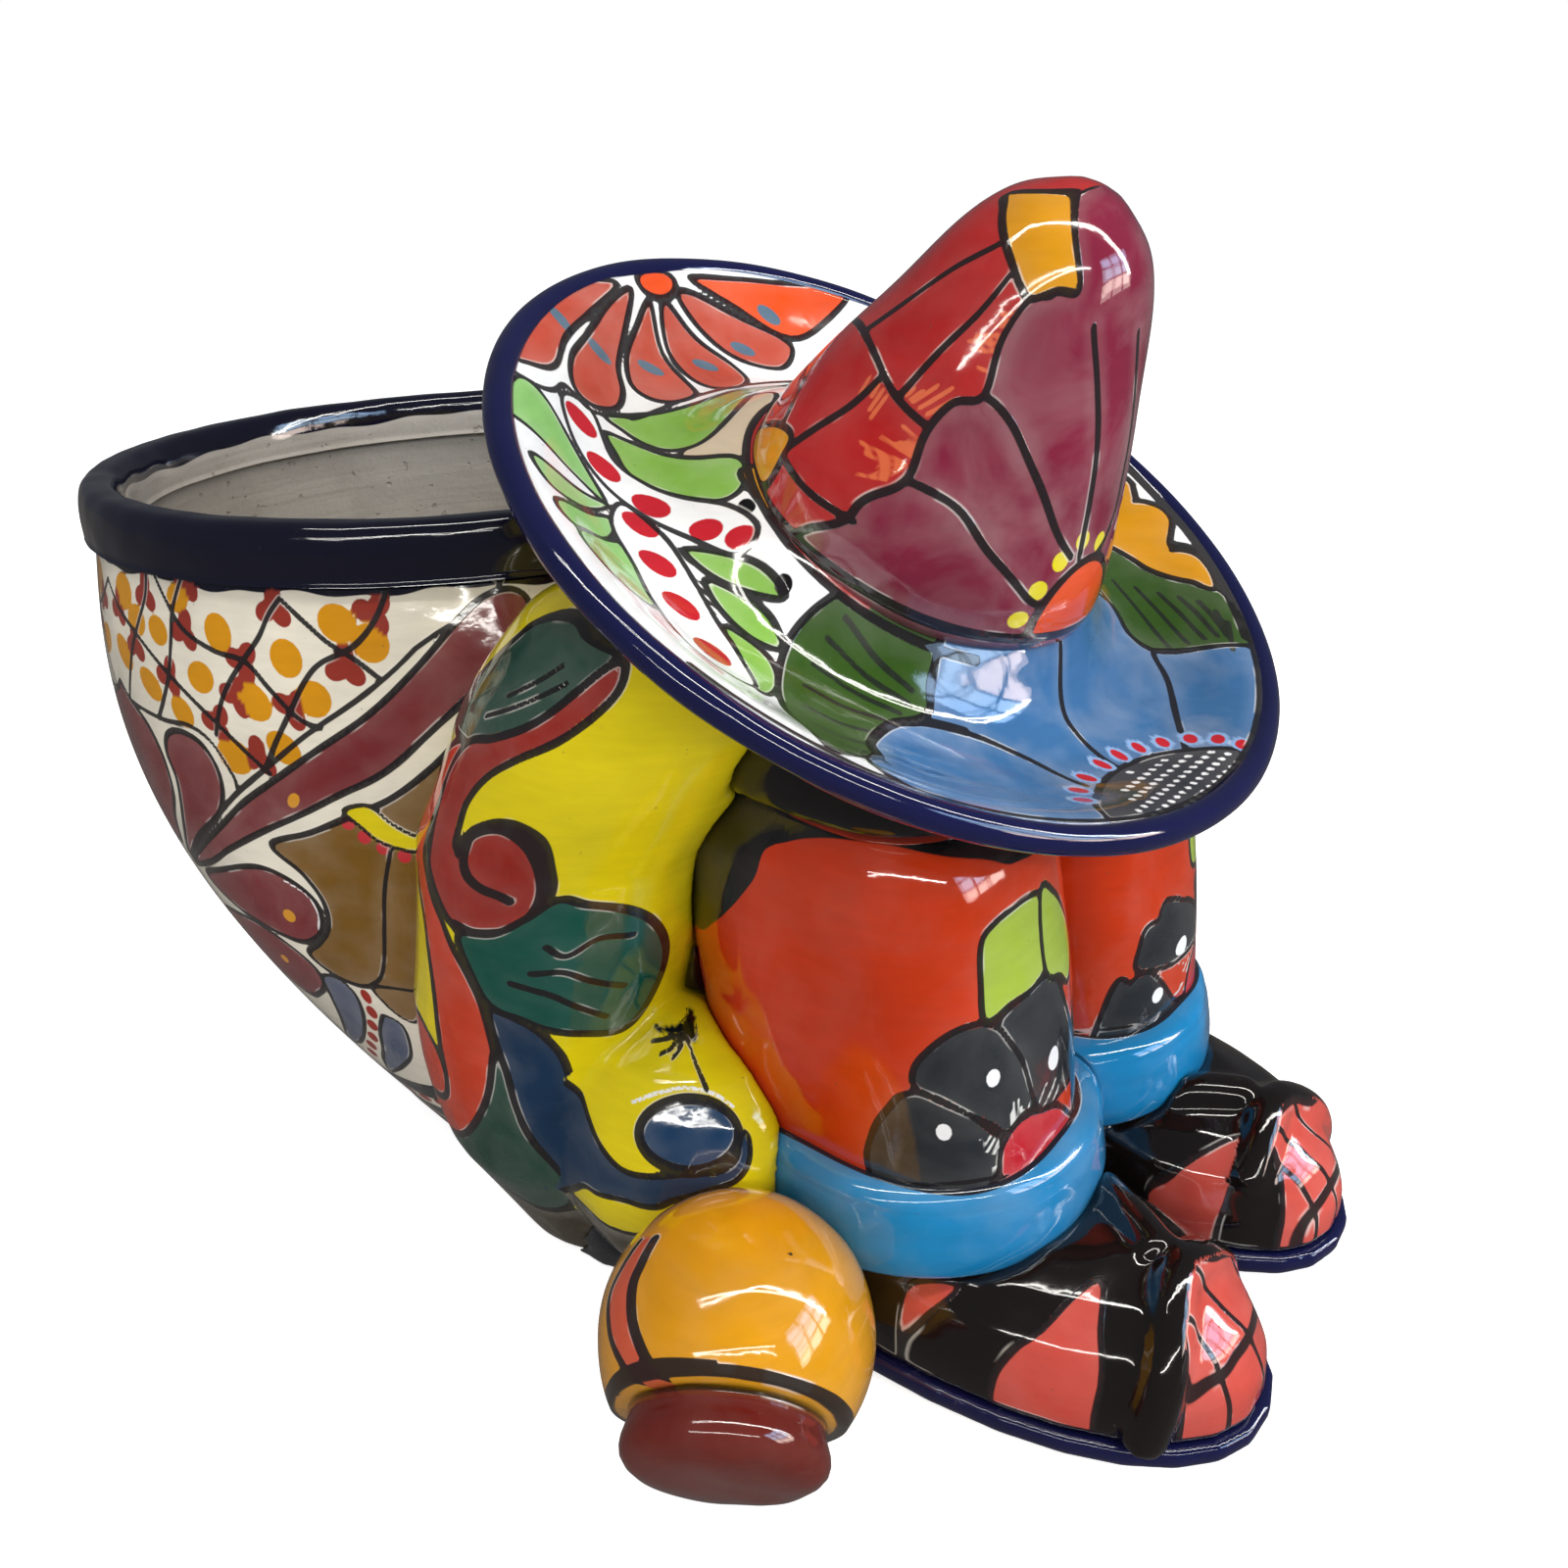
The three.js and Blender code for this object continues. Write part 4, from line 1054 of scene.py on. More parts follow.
def brim_pattern(c):
    brim_side(c)
    mirrored = Canvas(c.flat * [-1, 1], WHITE)
    brim_side(mirrored)
    brim_fern(mirrored)
    far = c.flat[:, 0] > 0
    c.take(far, mirrored, far)
    for k, (outline, dash, slope) in enumerate(BACK_PETALS):
        c.fill(outline, CORAL if k < 5 else ORANGE, 2.2)
        c.dot(*dash, 5.2, 2.3, STEEL, slope)
    c.fill(oval(-2, 120.5, 8.5, 5.0), ORANGE, 2.4)
    c.fill(BLUE_FIELD, FLOWER_BLUE, 2.2)
    brim_fern(c)
    c.stroke([(-88, -66), (-82, -58), (-74, -55), (-65, -54.5), (-57, -58), (-50.5, -63), (-46, -67)], 3.0)
    c.stroke([(-50.5, -63), (-40, -74), (-33, -86), (-31, -100)], 2.0)
    c.stroke([(8, -50), (1.2, -63.5), (-6.8, -77.6), (-8.4, -86.4), (-11.3, -100)], 2.1)
    c.stroke([(57, -77), (54.4, -78.6), (45.2, -88.8), (25.3, -102.2), (12, -110)], 1.9)
    c.fill(FAR_FAN, FERN, 2.2)
    for x, y in [(77, -47), (81, -54), (84, -61), (86, -67), (87, -73), (85.5, -80), (83, -86)]:
        root = np.array([62 + 1.4 * (x - 77), -80 + 0.38 * (47 + y)])
        c.streak([root, (root + (x, y)) / 2 + (1.5, 1), (x, y)], FERN_VEIN, 1.6)
    c.fill(AMBER_CLOUD, AMBER, 2.4)
    c.fill(HALF_DISC, CHARCOAL, 2.0)
    for row in range(6):
        for k in range(18):
            x, y = -44 + 4.0 * k + (row % 2) * 2.0, -104.6 - 3.7 * row
            if math.hypot((x + 12) / 31, (y + 124) / 20.5) < 0.95:
                c.dot(x, y, 1.35, 0.8, WHITE, -25)
    for x, y in HALF_DISC_DOTS:
        turn = math.degrees(math.atan2(y + 124, x + 11)) - 90
        c.fill(oval(x, y, 3.2, 4.2, turn), HALO, 0)
        c.dot(x, y, 1.9, 3.0, CHERRY, turn)
    ring = brim_arc(FOOT_RING, 78, 202, 30) - [0, 5]
    c.fill(np.vstack([ring, ring[::-1] * 0.7]), CROWN_RED, 0, curved=False)
    c.fill([(-55, 12), (-54, 22), (-49, 32), (-40, 26), (-44, 8)], AMBER, 2.0)
    c.stroke(brim_arc(FOOT_RING, 78, 236, 40) - [0, 5], 2.4, curved=False)
    c.stroke(brim_arc(124.2, -170, -6, 60), 1.9, curved=False)
    c.stroke(brim_arc(123.2, -50, -8, 20), 3.2, curved=False)


brim_points = points_of(hat_brim)
brim_local = untilted(brim_points, HAT_LEAN, HAT_PLACE)
brim_over = np.zeros(len(brim_points), bool)
brim_over[len(under) * 720 :] = True
brim_canvas = Canvas(brim_local[brim_over][:, :2], WHITE)
brim_pattern(brim_canvas)
whole = Canvas(brim_local[:, :2], CREAM)
below = ~brim_over
whole.paint[below] = WINE
backwards = brim_local[:, 1] > 30 + 14 * np.sin(brim_local[:, 0] / 17)
whole.paint[below & backwards] = YELLOW
whole.take(brim_over, brim_canvas)
dress(hat_brim, whole)
finish_piece(hat_brim, "hat_brim")
edge_canvas = Canvas(points_of(hat_edge)[:, :2], NAVY)
dress(hat_edge, edge_canvas)
finish_piece(hat_edge, "hat_edge")
print("brim strokes", brim_canvas.strokes)

# %% [markdown]
# The crown is red at the figure's right and mauve at the front, where petals with milky
# streaks climb it, with an amber cap at the tip and an orange disc half hidden at its foot.

# %% Crown pattern
def crown_pattern(c):
    c.fill([
        (4, 104), (14, 94), (20, 84), (13, 80), (11.5, 70), (15, 57), (9, 52), (7, 43), (9, 31), (4, 22),
        (3, 15), (4, -6), (126, -6), (126, 104),
    ], MAUVE)
    c.stroke([(15, 57), (20, 56), (26, 53), (33, 47), (40, 40), (47, 31), (53, 25)])
    c.stroke([(9, 31), (16, 31.5), (23, 30), (31, 24), (38, 19), (45, 13), (50, 11)])
    c.stroke([(38, 80), (46, 68), (52, 55), (55, 40), (56, 25)])
    c.stroke([(62, 80), (70, 60), (71, 42), (71, 34), (67, 27), (62, 23)])
    c.stroke([(82, 78), (92, 56), (98, 34), (100, 8)])
    for line in (
        [(-9, 87), (-18, 75), (-25, 60), (-30, 48)], [(2, 82), (1, 72), (-2, 60), (-4, 46)],
        [(-52, 40), (-35, 47), (-20, 48), (-5, 45), (7, 44)], [(-12, 46), (-13.5, 36), (-17, 25), (-20, 14)],
        [(-45, 30), (-38, 28), (-31, 22), (-27, 17)], [(-18, 13), (-8, 13), (4, 15)],
        [(-60, 84), (-66, 66), (-70, 46), (-74, 20)], [(-90, 86), (-96, 60), (-102, 34), (-104, 4)],
    ):
        c.stroke(line, 2.1)
    for root, tip, count in (
        ([(8, 40), (7, 34), (5, 27)], [(-2, 41), (-5, 31), (-4, 21)], 9),
        ([(-4, 47), (0, 46.5), (6, 46)], [(-3, 55), (4, 55), (11, 54)], 6),
        ([(-16, 43.5), (-11, 44), (-6, 43.5)], [(-14, 36), (-10, 36), (-6, 37)], 5),
        ([(12, 76), (10.5, 70), (13, 60)], [(4, 73), (3, 67), (6, 59)], 7),
    ):
        c.feather(root, tip, count, EMBER, 1.1)
    c.fill([
        (-36, 93), (-20, 99), (-5, 101), (10, 98), (22, 92), (28, 86), (20, 84), (13, 80), (8, 81),
        (0, 84), (-10, 87), (-25, 91),
    ], AMBER)
    c.fill([(-38, 3), (-31, 13), (-23, 18), (-19.5, 15), (-19.5, 2)], AMBER)
    c.fill(oval(61, 6, 13, 17.5, 0, 20), ORANGE, 2.4)
    for u, v in [(56, 29), (50, 24), (46, 16), (44, 7), (64, 27)]:
        c.dot(u, v, 2.5, 2.8, YELLOW)
    c.stroke([(-126, 0.8), (-60, 0.8), (0, 0.8), (60, 0.8), (126, 0.8)], 3.4)


crown_points = points_of(hat_crown)
crown_local = untilted(untilted(crown_points, HAT_LEAN, HAT_PLACE), CROWN_BACK, CROWN_PLACE)
crown_turn = np.arctan2(-crown_local[:, 1], -crown_local[:, 0])
crown_canvas = Canvas(np.stack([crown_turn * 40, crown_local[:, 2]], 1), CROWN_RED)
crown_pattern(crown_canvas)
dress(hat_crown, crown_canvas)
finish_piece(hat_crown, "hat_crown")
print("crown strokes", crown_canvas.strokes)


# %% [markdown]
# The jug is a thrown ball with a rolled mouth, lying on its side. It is built upright and then
# laid down, with its mouth turned outwards and a little to the floor.

# %% Jug
JUG_RADIUS, JUG_END, JUG_LENGTH = 40.5, 22.7, 41.0
JUG_PLACE = np.array([-137.6, -172.5, 40.5])
JUG_HEADING, JUG_FALL = math.radians(213.5), math.radians(112)


def laid_down(points):
    x, y, z = np.moveaxis(points, -1, 0)
    c, s = math.cos(JUG_FALL), math.sin(JUG_FALL)
    x, z = c * x + s * z, c * z - s * x
    c, s = math.cos(JUG_HEADING), math.sin(JUG_HEADING)
    return np.stack([c * x - s * y, s * x + c * y, z], -1) + JUG_PLACE


def stood_up(points):
    x, y, z = np.moveaxis(points - JUG_PLACE, -1, 0)
    c, s = math.cos(JUG_HEADING), math.sin(JUG_HEADING)
    x, y = c * x + s * y, c * y - s * x
    c, s = math.cos(JUG_FALL), math.sin(JUG_FALL)
    return np.stack([c * x - s * z, y, c * z + s * x], -1)


reach = np.linspace(-math.pi / 2 + 0.02, math.asin(JUG_END / JUG_RADIUS), 96)
ball = [(JUG_RADIUS * math.cos(a), JUG_RADIUS * math.sin(a)) for a in reach]
jug_body = grid_piece("jug_ball", laid_down(round_grid(ball, 220)))
uneven(jug_body, 30, 0.8, 21)
neck = JUG_LENGTH - JUG_END
neck_form = [
    (28.3, 0.02), (27.9, 0.17), (28.6, 0.3), (29.3, 0.44), (29.4, 0.56), (28.8, 0.68), (27.0, 0.8),
    (24.2, 0.9), (20.0, 0.96), (15.5, 0.99), (9.0, 0.995), (3.0, 0.985),
]
neck_profile = [(r, JUG_END + 0.4 + h * (neck - 0.4)) for r, h in neck_form]
jug_mouth = grid_piece("jug_mouth_rolled", laid_down(round_grid(neck_profile, 160)))
uneven(jug_mouth, 18, 0.6, 22)


def jug_flat(points):
    local = stood_up(points)
    turn = np.arctan2(local[:, 1], local[:, 0])
    rise = np.arcsin(np.clip(local[:, 2] / np.maximum(np.linalg.norm(local, axis=1), 1), -1, 1))
    return np.stack([turn * 34, rise * JUG_RADIUS], 1)


jug_canvas = Canvas(jug_flat(points_of(jug_body)), AMBER)
crescent_out = [
    (-79.6, -15.1), (-75.8, -7.5), (-72.3, -1), (-72.9, 7.1), (-74.5, 12.9), (-79, 20.8), (-82.4, 25),
]
crescent_in = [
    (-86, -13.7), (-84.4, -6.1), (-82.9, -0.6), (-83.3, 7.6), (-84.6, 13.1), (-87.4, 19.6), (-91.1, 24),
]
jug_canvas.fill(crescent_out + crescent_in[::-1], TILE_RED, 0)
jug_canvas.stroke(crescent_out, 2.5)
jug_canvas.stroke(crescent_in, 3.5)
jug_canvas.stroke([(-107, 22.6), (-50, 22.8), (0, 23.2), (50, 23.2), (107, 22.6)], 3.4)
jug_canvas.stroke([(-107, 22), (-98, 21.6), (-86, 21.2), (-76, 21.8), (-66, 22.8)], 3.6)
jug_canvas.dot(91.5, -10, 1.0, 0.7, BLACK)
dress(jug_body, jug_canvas)
finish_piece(jug_body, "jug_body")
mouth_canvas = Canvas(jug_flat(points_of(jug_mouth)), RUSSET)
mouth_canvas.ink = stood_up(points_of(jug_mouth))[:, 2] - JUG_END - 1.7
dress(jug_mouth, mouth_canvas)
finish_piece(jug_mouth, "jug_mouth")

# %% [markdown]
# The legs are upright blocks with round corners. Their rings are squared ovals, and the points
# are spaced evenly along each ring, or they would crowd at the corners.

# %% Squared rings
SQUARED_TURN = np.linspace(-math.pi, math.pi, 1441)


def squared_oval(a, b, squareness):
    """Many points of a squared oval, and how far each lies along it."""
    c, s = np.cos(SQUARED_TURN), np.sin(SQUARED_TURN)
    x = a * np.sign(c) * np.abs(c) ** (2 / squareness)
    y = b * np.sign(s) * np.abs(s) ** (2 / squareness)
    return x, y, np.concatenate([[0], np.cumsum(np.hypot(np.diff(x), np.diff(y)))])


def squared_ring(a, b, squareness, count):
    x, y, far = squared_oval(a, b, squareness)
    at = np.arange(count) * far[-1] / count
    return np.interp(at, far, x), np.interp(at, far, y)


def squared_grid(rings, squareness, count):
    grid = []
    for x, y, z, a, b in rings:
        u, v = squared_ring(a, b, squareness, count)
        grid.append(np.stack([x + u, y + v, np.full(count, z)], 1))
    return np.stack(grid)


MIDDLE_GAP = 0.15


def one_side(points, side):
    """Presses the points that would cross the middle plane flat against it."""
    points[..., 0] = side * np.maximum(side * points[..., 0], MIDDLE_GAP)
    return points


# %% [markdown]
# Each leg carries a flower over the shin. The leg is laid flat by the turn about its own middle,
# from its outer side to its front, and the squared corners are measured out along the clay.

# %% Legs
LEG_OUT, LEG_FORWARD, LEG_WIDE, LEG_DEEP, LEG_SQUARE = 46.4, FRONT + 73.8, 46.0, 59.5, 2.8
LEG_LOW, LEG_RISE, LEG_LEAN, LEG_TURN = 41.0, 143.0, 19.0, 52.0
leg_form = knot_curve([(0, 0.97), (0.25, 0.98), (0.55, 1), (0.78, 0.98), (0.92, 0.9), (1, 0.74)])
along = squared_oval(LEG_WIDE, LEG_DEEP, LEG_SQUARE)[2]
along -= np.interp(0, SQUARED_TURN, along)


def leg_place(p):
    return np.stack([np.interp(p[:, 0] / LEG_TURN, SQUARED_TURN, along), p[:, 1]], 1)


def leg_flat(points, side):
    h = np.clip((points[:, 2] - LEG_LOW) / LEG_RISE, 0, 1)
    w = leg_form(h)
    x = (side * LEG_OUT - points[:, 0]) / (LEG_WIDE * w)
    y = (-LEG_FORWARD + (h - 0.2) * LEG_LEAN - points[:, 1]) / (LEG_DEEP * w)
    x, y = (np.sign(k) * np.abs(k) ** (LEG_SQUARE / 2) for k in (x, y))
    return np.stack([np.interp(np.arctan2(y, x), SQUARED_TURN, along), points[:, 2]], 1)


def leg_seam_and_painted_shade(c):
    """The line over the cuff, and black round the outer side and the top: the arms' black, and painted shade
    under the brim.
    """
    c.stroke([(14, 71), (32, 74.6), (50, 76), (60, 74.6), (70, 72)], 1.4)
    # Painted shade: black over the top and the upper outer side stands for the shade under the hat brim and
    # in the gap by the sleeve, joined to the black of the arms.
    c.cover([
        (-60, 200), (-60, 130), (-34, 130), (-20, 138), (-10, 148), (-3, 160), (0, 172), (10, 177),
        (30, 178.5), (50, 176), (70, 172), (82, 167), (110, 164), (150, 164), (150, 200),
    ], BLACK)


def right_leg_pattern(c):
    c.fill([
        (12, 66), (13, 72), (13, 80), (17, 92), (22, 100), (26, 105), (32, 107), (40, 104), (50, 99),
        (58, 92), (62, 88), (60, 78), (54, 72), (40, 70),
    ], STONE)
    c.fill([
        (31, 109), (32, 116), (38, 122), (46, 126.5), (55, 128), (62, 126), (68, 120), (73, 110),
        (76, 100), (78, 91), (72, 92), (64, 89), (58, 94), (50, 99), (40, 105),
    ], STONE)
    c.fill([
        (64, 126), (70, 129), (82, 130), (86, 127), (89, 123), (92, 115), (96, 105), (98, 98), (96, 88),
        (86, 87), (81, 86), (77, 95), (73, 110), (66, 122),
    ], STONE)
    c.fill([(98, 70), (97, 100), (104, 114), (120, 116), (134, 110), (134, 70)], STONE)
    for u, v, a, b in [(39.5, 94, 3.0, 3.0), (60, 109.5, 3.0, 3.0), (84, 101, 2.0, 4.0), (110, 96, 3.0, 3.0)]:
        c.dot(u, v, a, b, WHITE)
    c.feather([
        (60, 74), (61, 84), (67, 89.5), (74, 90), (84, 84),
    ], [(50, 76), (53, 90), (66, 98), (77, 98), (90, 91)], 17, MIST, 0.9)
    c.fill([
        (60, 74), (61, 83), (65, 88), (71, 90.5), (78, 89), (85, 83), (90, 77), (96, 70), (96, 62),
        (60, 62),
    ], CHERRY)
    c.fill([
        (59, 128), (59, 140), (61, 151), (66, 155), (75, 157), (83, 156), (84, 145), (82, 131), (70, 130),
    ], LIME)
    c.fill([(84, 156), (91, 152), (98, 144), (104, 134), (103, 126), (96, 120), (90, 125), (83, 131)], LIME)


def left_leg_pattern(c):
    c.fill([
        (39, 66), (39, 75), (42, 82), (46, 90), (50, 94.5), (53, 94.5), (56, 92.5), (60, 94.5), (66, 94),
        (70, 91), (75, 85), (80, 76), (82, 70),
    ], STONE)
    c.fill([
        (59, 97), (61, 105), (64, 110.5), (68, 112), (72, 112), (74, 115.5), (77, 117), (81, 115),
        (83, 112), (88, 109), (96, 101), (94, 92), (84, 90), (72, 93),
    ], STONE)
    c.fill([(94, 112), (104, 118), (116, 114), (124, 100), (120, 90), (108, 90), (100, 98)], STONE)
    for u, v, a, b in [(71, 83, 3.4, 2.8), (83, 94.5, 2.2, 3.4), (110, 103, 3.2, 2.8)]:
        c.dot(u, v, a, b, WHITE)
    c.feather([(84, 76), (88, 85), (98, 91)], [(76, 80), (82, 92), (96, 98)], 8, MIST, 0.9)
    c.fill([(84, 72), (88, 84), (98, 90), (110, 88), (120, 76), (118, 66), (86, 66)], CHERRY)
    c.fill([(92, 120), (90, 132), (94, 144), (103, 150), (112, 142), (113, 128), (105, 120)], LIME)


def make_leg(name, side, pattern):
    rings = []
    for h in np.concatenate([np.linspace(0, 0.92, 84), np.linspace(0.93, 1, 14)]):
        w = float(leg_form(h))
        middle = (side * LEG_OUT, -LEG_FORWARD + (h - 0.2) * LEG_LEAN, LEG_LOW + h * LEG_RISE)
        rings.append((*middle, LEG_WIDE * w, LEG_DEEP * w))
    leg = grid_piece(name + "_painted", one_side(squared_grid(rings, LEG_SQUARE, 300), side))
    uneven(leg, 44, 1.0, 31 + side)
    points = one_side(points_of(leg), side)
    set_points(leg, points)
    canvas = Canvas(leg_flat(points, side), RED_ORANGE)
    canvas.place = leg_place
    pattern(canvas)
    leg_seam_and_painted_shade(canvas)
    dress(leg, canvas)
    finish_piece(leg, name)


make_leg("right_leg", -1, right_leg_pattern)
make_leg("left_leg", 1, left_leg_pattern)

# %% [markdown]
# The cuffs are puffed rings of clay with a soft crease where the thumb pressed them down.

# %% Cuffs
CUFF_OUT, CUFF_FORWARD, CUFF_RADIUS, CUFF_RISE = 42.0, LEG_FORWARD + 8.2, 60.5, 33.0
CUFF_SHOULDER = 0.78
cuff_form = knot_curve([(0, 0.96), (0.25, 1), (0.55, 0.99), (0.8, 0.96), (1, 0.89)])


def leg_reach(side, height, turn):
    """How far the leg's side lies from the cuff's middle in each direction."""
    h = (height - LEG_LOW) / LEG_RISE
    w = float(leg_form(h))
    x, y = squared_ring(LEG_WIDE * w, LEG_DEEP * w, LEG_SQUARE, 1440)
    x = x + side * (LEG_OUT - CUFF_OUT)
    y = y - LEG_FORWARD + (h - 0.2) * LEG_LEAN + CUFF_FORWARD
    return np.interp(turn, np.arctan2(y, x), np.hypot(x, y), period=2 * math.pi)


def make_cuff(name, side):
    x, y = side * CUFF_OUT, -CUFF_FORWARD
    t = 2 * math.pi * np.arange(260) / 260
    rings = []
    steps = [(h, 0.0) for h in np.linspace(0, CUFF_SHOULDER, 20)]
    for a in np.radians(np.linspace(4, 90, 20)):
        steps.append((CUFF_SHOULDER + (1 - CUFF_SHOULDER) * math.sin(a), 1 - math.cos(a)))
    for h, inward in steps:
        z = LEG_LOW + h * CUFF_RISE
        radius = CUFF_RADIUS * float(cuff_form(min(h, 0.8))) - 2.2 * max(0.0, 1 - h / 0.08) ** 2
        inner = np.minimum(leg_reach(side, z, t) - 1.5, radius)
        radius = radius + (inner - radius) * inward
        rings.append(np.stack([x + radius * np.cos(t), y + radius * np.sin(t), np.full(260, z)], 1))
    cuff = grid_piece(name + "_puffed", one_side(np.stack(rings), side))
    uneven(cuff, 26, 1.2, 41 + side)
    points = one_side(points_of(cuff), side)
    set_points(cuff, points)
    turn = np.arctan2(y - points[:, 1], x - points[:, 0])
    canvas = Canvas(np.stack([turn * 60, points[:, 2]], 1), SKY)
    canvas.stroke([(-190, 41.6), (-60, 41.6), (60, 41.6), (190, 41.6)], 1.8)
    from_middle = np.arctan2(points[:, 1] - y, points[:, 0] - x)
    gap = np.hypot(points[:, 0] - x, points[:, 1] - y) - leg_reach(side, 72.0, from_middle)
    canvas.ink = np.where(points[:, 2] > 66, np.minimum(canvas.ink, gap - 1.0), canvas.ink)
    dress(cuff, canvas)
    finish_piece(cuff, name)


make_cuff("right_cuff", -1)
make_cuff("left_cuff", 1)

# %% [markdown]
# Each sleeve is a roll of clay from the shoulder to the floor with a lobe of hem in front. The
# roll is laid flat by the turn about its own axis, and the lobe by its longitude and latitude.

# %% Sleeves
SHOULDER, ELBOW_OUT, ELBOW_BACK, ELBOW_RADIUS = 246.0, 97.0, 32.7, 46.5
SLEEVE_ROWS = [
    (0, 0.825, 0.755, 0.87), (0.17, 0.95, 0.91, 1), (0.395, 1, 1, 1), (0.65, 0.94, 0.6, 1.07),
    (0.833, 0.815, -0.255, 1.08), (0.943, 0.753, -0.53, 0.92), (1, 0.69, -0.65, 0.5),
]
sleeve_out = knot_curve([(h * SHOULDER, out * ELBOW_OUT) for h, out, back, wide in SLEEVE_ROWS])
sleeve_back = knot_curve([(h * SHOULDER, back * ELBOW_BACK - FRONT) for h, out, back, wide in SLEEVE_ROWS])
sleeve_wide = knot_curve([(h * SHOULDER, wide * ELBOW_RADIUS) for h, out, back, wide in SLEEVE_ROWS])
HEM_MIDDLE = np.array([-91.0, -FRONT - 19.3, 51.0])
HEM_RADII = np.array([41.0, 50.0, 52.0])
SLEEVE_FOLDS = [((-50, 208), (26, 30), 7.0), ((-34, 66), (22, 30), 4.5)]


def sleeve_pattern(c):
    c.fill([
        (-60, 44), (-24, 44), (-10, 38), (3, 30), (15, 26), (30, 30), (36, 36), (60, 34), (60, -4),
        (-60, -4),
    ], DARK_HEM, 1.6)
    c.fill([
        (-24, 198), (-34, 190), (-38, 178), (-33, 166), (-25, 157), (-19, 148), (-12, 138), (-8, 128),
        (-5, 115), (-4, 100), (-5, 90), (-7, 76), (-13, 66), (-24, 63), (-42, 64), (-42, 44), (-24, 46),
        (-9, 51), (2, 60), (11, 74), (17, 86), (19.5, 97), (17.5, 115), (13, 125), (7, 133), (1, 141),
        (-5, 147), (-12, 155), (-19, 166), (-23, 177), (-24, 188),
    ], FLAME)
    c.fill([
        (-45, 200), (-26, 230), (-10, 236), (5, 233.5), (18, 230), (16, 222), (6, 213), (-5, 207),
        (-14, 199), (-25, 197), (-38, 197),
    ], DEEP_TEAL)
    c.stroke([(-20, 207), (-8, 214), (4, 222)], 1.7)
    c.stroke([(-16, 214), (-6, 221), (0, 226)], 1.7)
    c.fill([
        (19, 229), (13, 226), (0, 211), (-12, 203), (-22, 198), (-26, 187), (-22, 175), (-13, 161),
        (-4, 150), (6, 142), (14, 140.5), (25, 143.5), (31.5, 150), (32, 160), (28, 168), (21, 177),
        (12, 181), (5, 180.5), (-1, 176), (-3.5, 169), (-7, 176), (-9, 183), (-7, 192), (0, 200),
        (11, 209), (20, 221),
    ], SCROLL_RED)
    c.stroke([
        (-1, 168), (0, 174.5), (5, 178.5), (11, 178.8), (19, 175), (26, 167.5), (30, 159), (29.5, 151),
        (24, 145), (14, 142.3), (6, 143),
    ], 4.0)
    c.stroke([(0, 172), (2, 166), (6, 161.5), (12, 158.8), (18, 157.5), (22, 156)], 3.0)
    c.fill([(-42, 98), (-24, 98), (-13, 95), (-7, 87), (-7, 76), (-12, 67), (-24, 64), (-42, 66)], FLAME)
    c.fill([
        (21, 101), (15, 83), (10, 73), (1, 61), (-9, 52), (-24, 46), (-42, 45), (-42, 44), (-24, 44),
        (-10, 38), (3, 30), (15, 26), (28, 31), (33, 42), (31.5, 50), (26, 60), (23.5, 70), (23.5, 85),
    ], DEEP_TEAL)
    c.fill([
        (20, 116), (28, 112.5), (35, 107), (41, 96), (43.5, 82), (50, 73), (66, 68), (66, 50), (48, 46),
        (36, 42), (30, 52), (25, 64), (23, 76), (22.5, 90), (20.5, 104),
    ], INK_BLUE)
    c.fill([
        (8, 140), (20, 143.5), (28, 150), (35, 157), (43, 154.5), (55, 150), (65, 142), (72, 130),
        (73, 118), (68, 106), (60, 101), (50, 103.5), (38, 107.5), (30, 112), (20, 116.5), (14, 127),
    ], TEAL)
    c.stroke([(36, 140), (42, 136), (50, 141), (60, 139)], 2.2)
    c.stroke([(33, 130), (42, 130), (50, 125), (60, 119.5)], 2.2)
    c.stroke([(27, 126), (38, 122), (46, 116), (55, 109)], 2.2)
    c.fill([(-120, 60), (-84, 100), (-70, 150), (-84, 190), (-120, 210)], FLAME)
    c.stroke([(-110, 80), (-92, 120), (-96, 170)], 1.6)


def hem_pattern(c):
    c.fill([(-40, -12), (-20, -9), (8, -10), (30, 2), (60, -4), (60, -80), (-60, -80)], DARK_HEM, 1.6)
    c.fill([
        (-30, 42), (-18, 33), (-9, 26), (0, 19.5), (9, 15), (20, 16), (31, 18.5), (41, 18.5), (48, 22),
        (51, 29), (54, 27), (52, 20), (46, 15), (36, 12.5), (26, 9), (20, 5.5), (10, 4.5), (0, 2),
        (-7, 0.5), (-16, -7), (-30, -13),
    ], INK_BLUE)
    c.fill(oval(32.5, 30, 18.5, 11, 4, 24), SCROLL_BLUE, 3.8)
    # Painted highlight: a thin white arc over the blue ball, where the glaze shines.
    c.streak([(9, 37), (20, 42), (33, 44.5), (45, 42), (52, 37)], WHITE, 1.5)
    c.fill([
        (-8, 67.3), (4, 65.6), (16, 66.6), (28, 67.8), (42, 70), (60, 73), (82, 76), (70, 71.5), (57, 67),
        (48, 62), (39, 61.5), (27, 64), (15, 64.2), (4, 64),
    ], BLACK, 0.8)
    for low in [(5.5, 59.4), (16.1, 55.3), (25, 54.5)]:
        c.stroke([(38, 64.5), ((38 + low[0]) / 2 + 2, (64.5 + low[1]) / 2 + 0.8), low], 2.2)
    c.stroke([(39, 64), (40.5, 54), (42.4, 44)], 2.8)


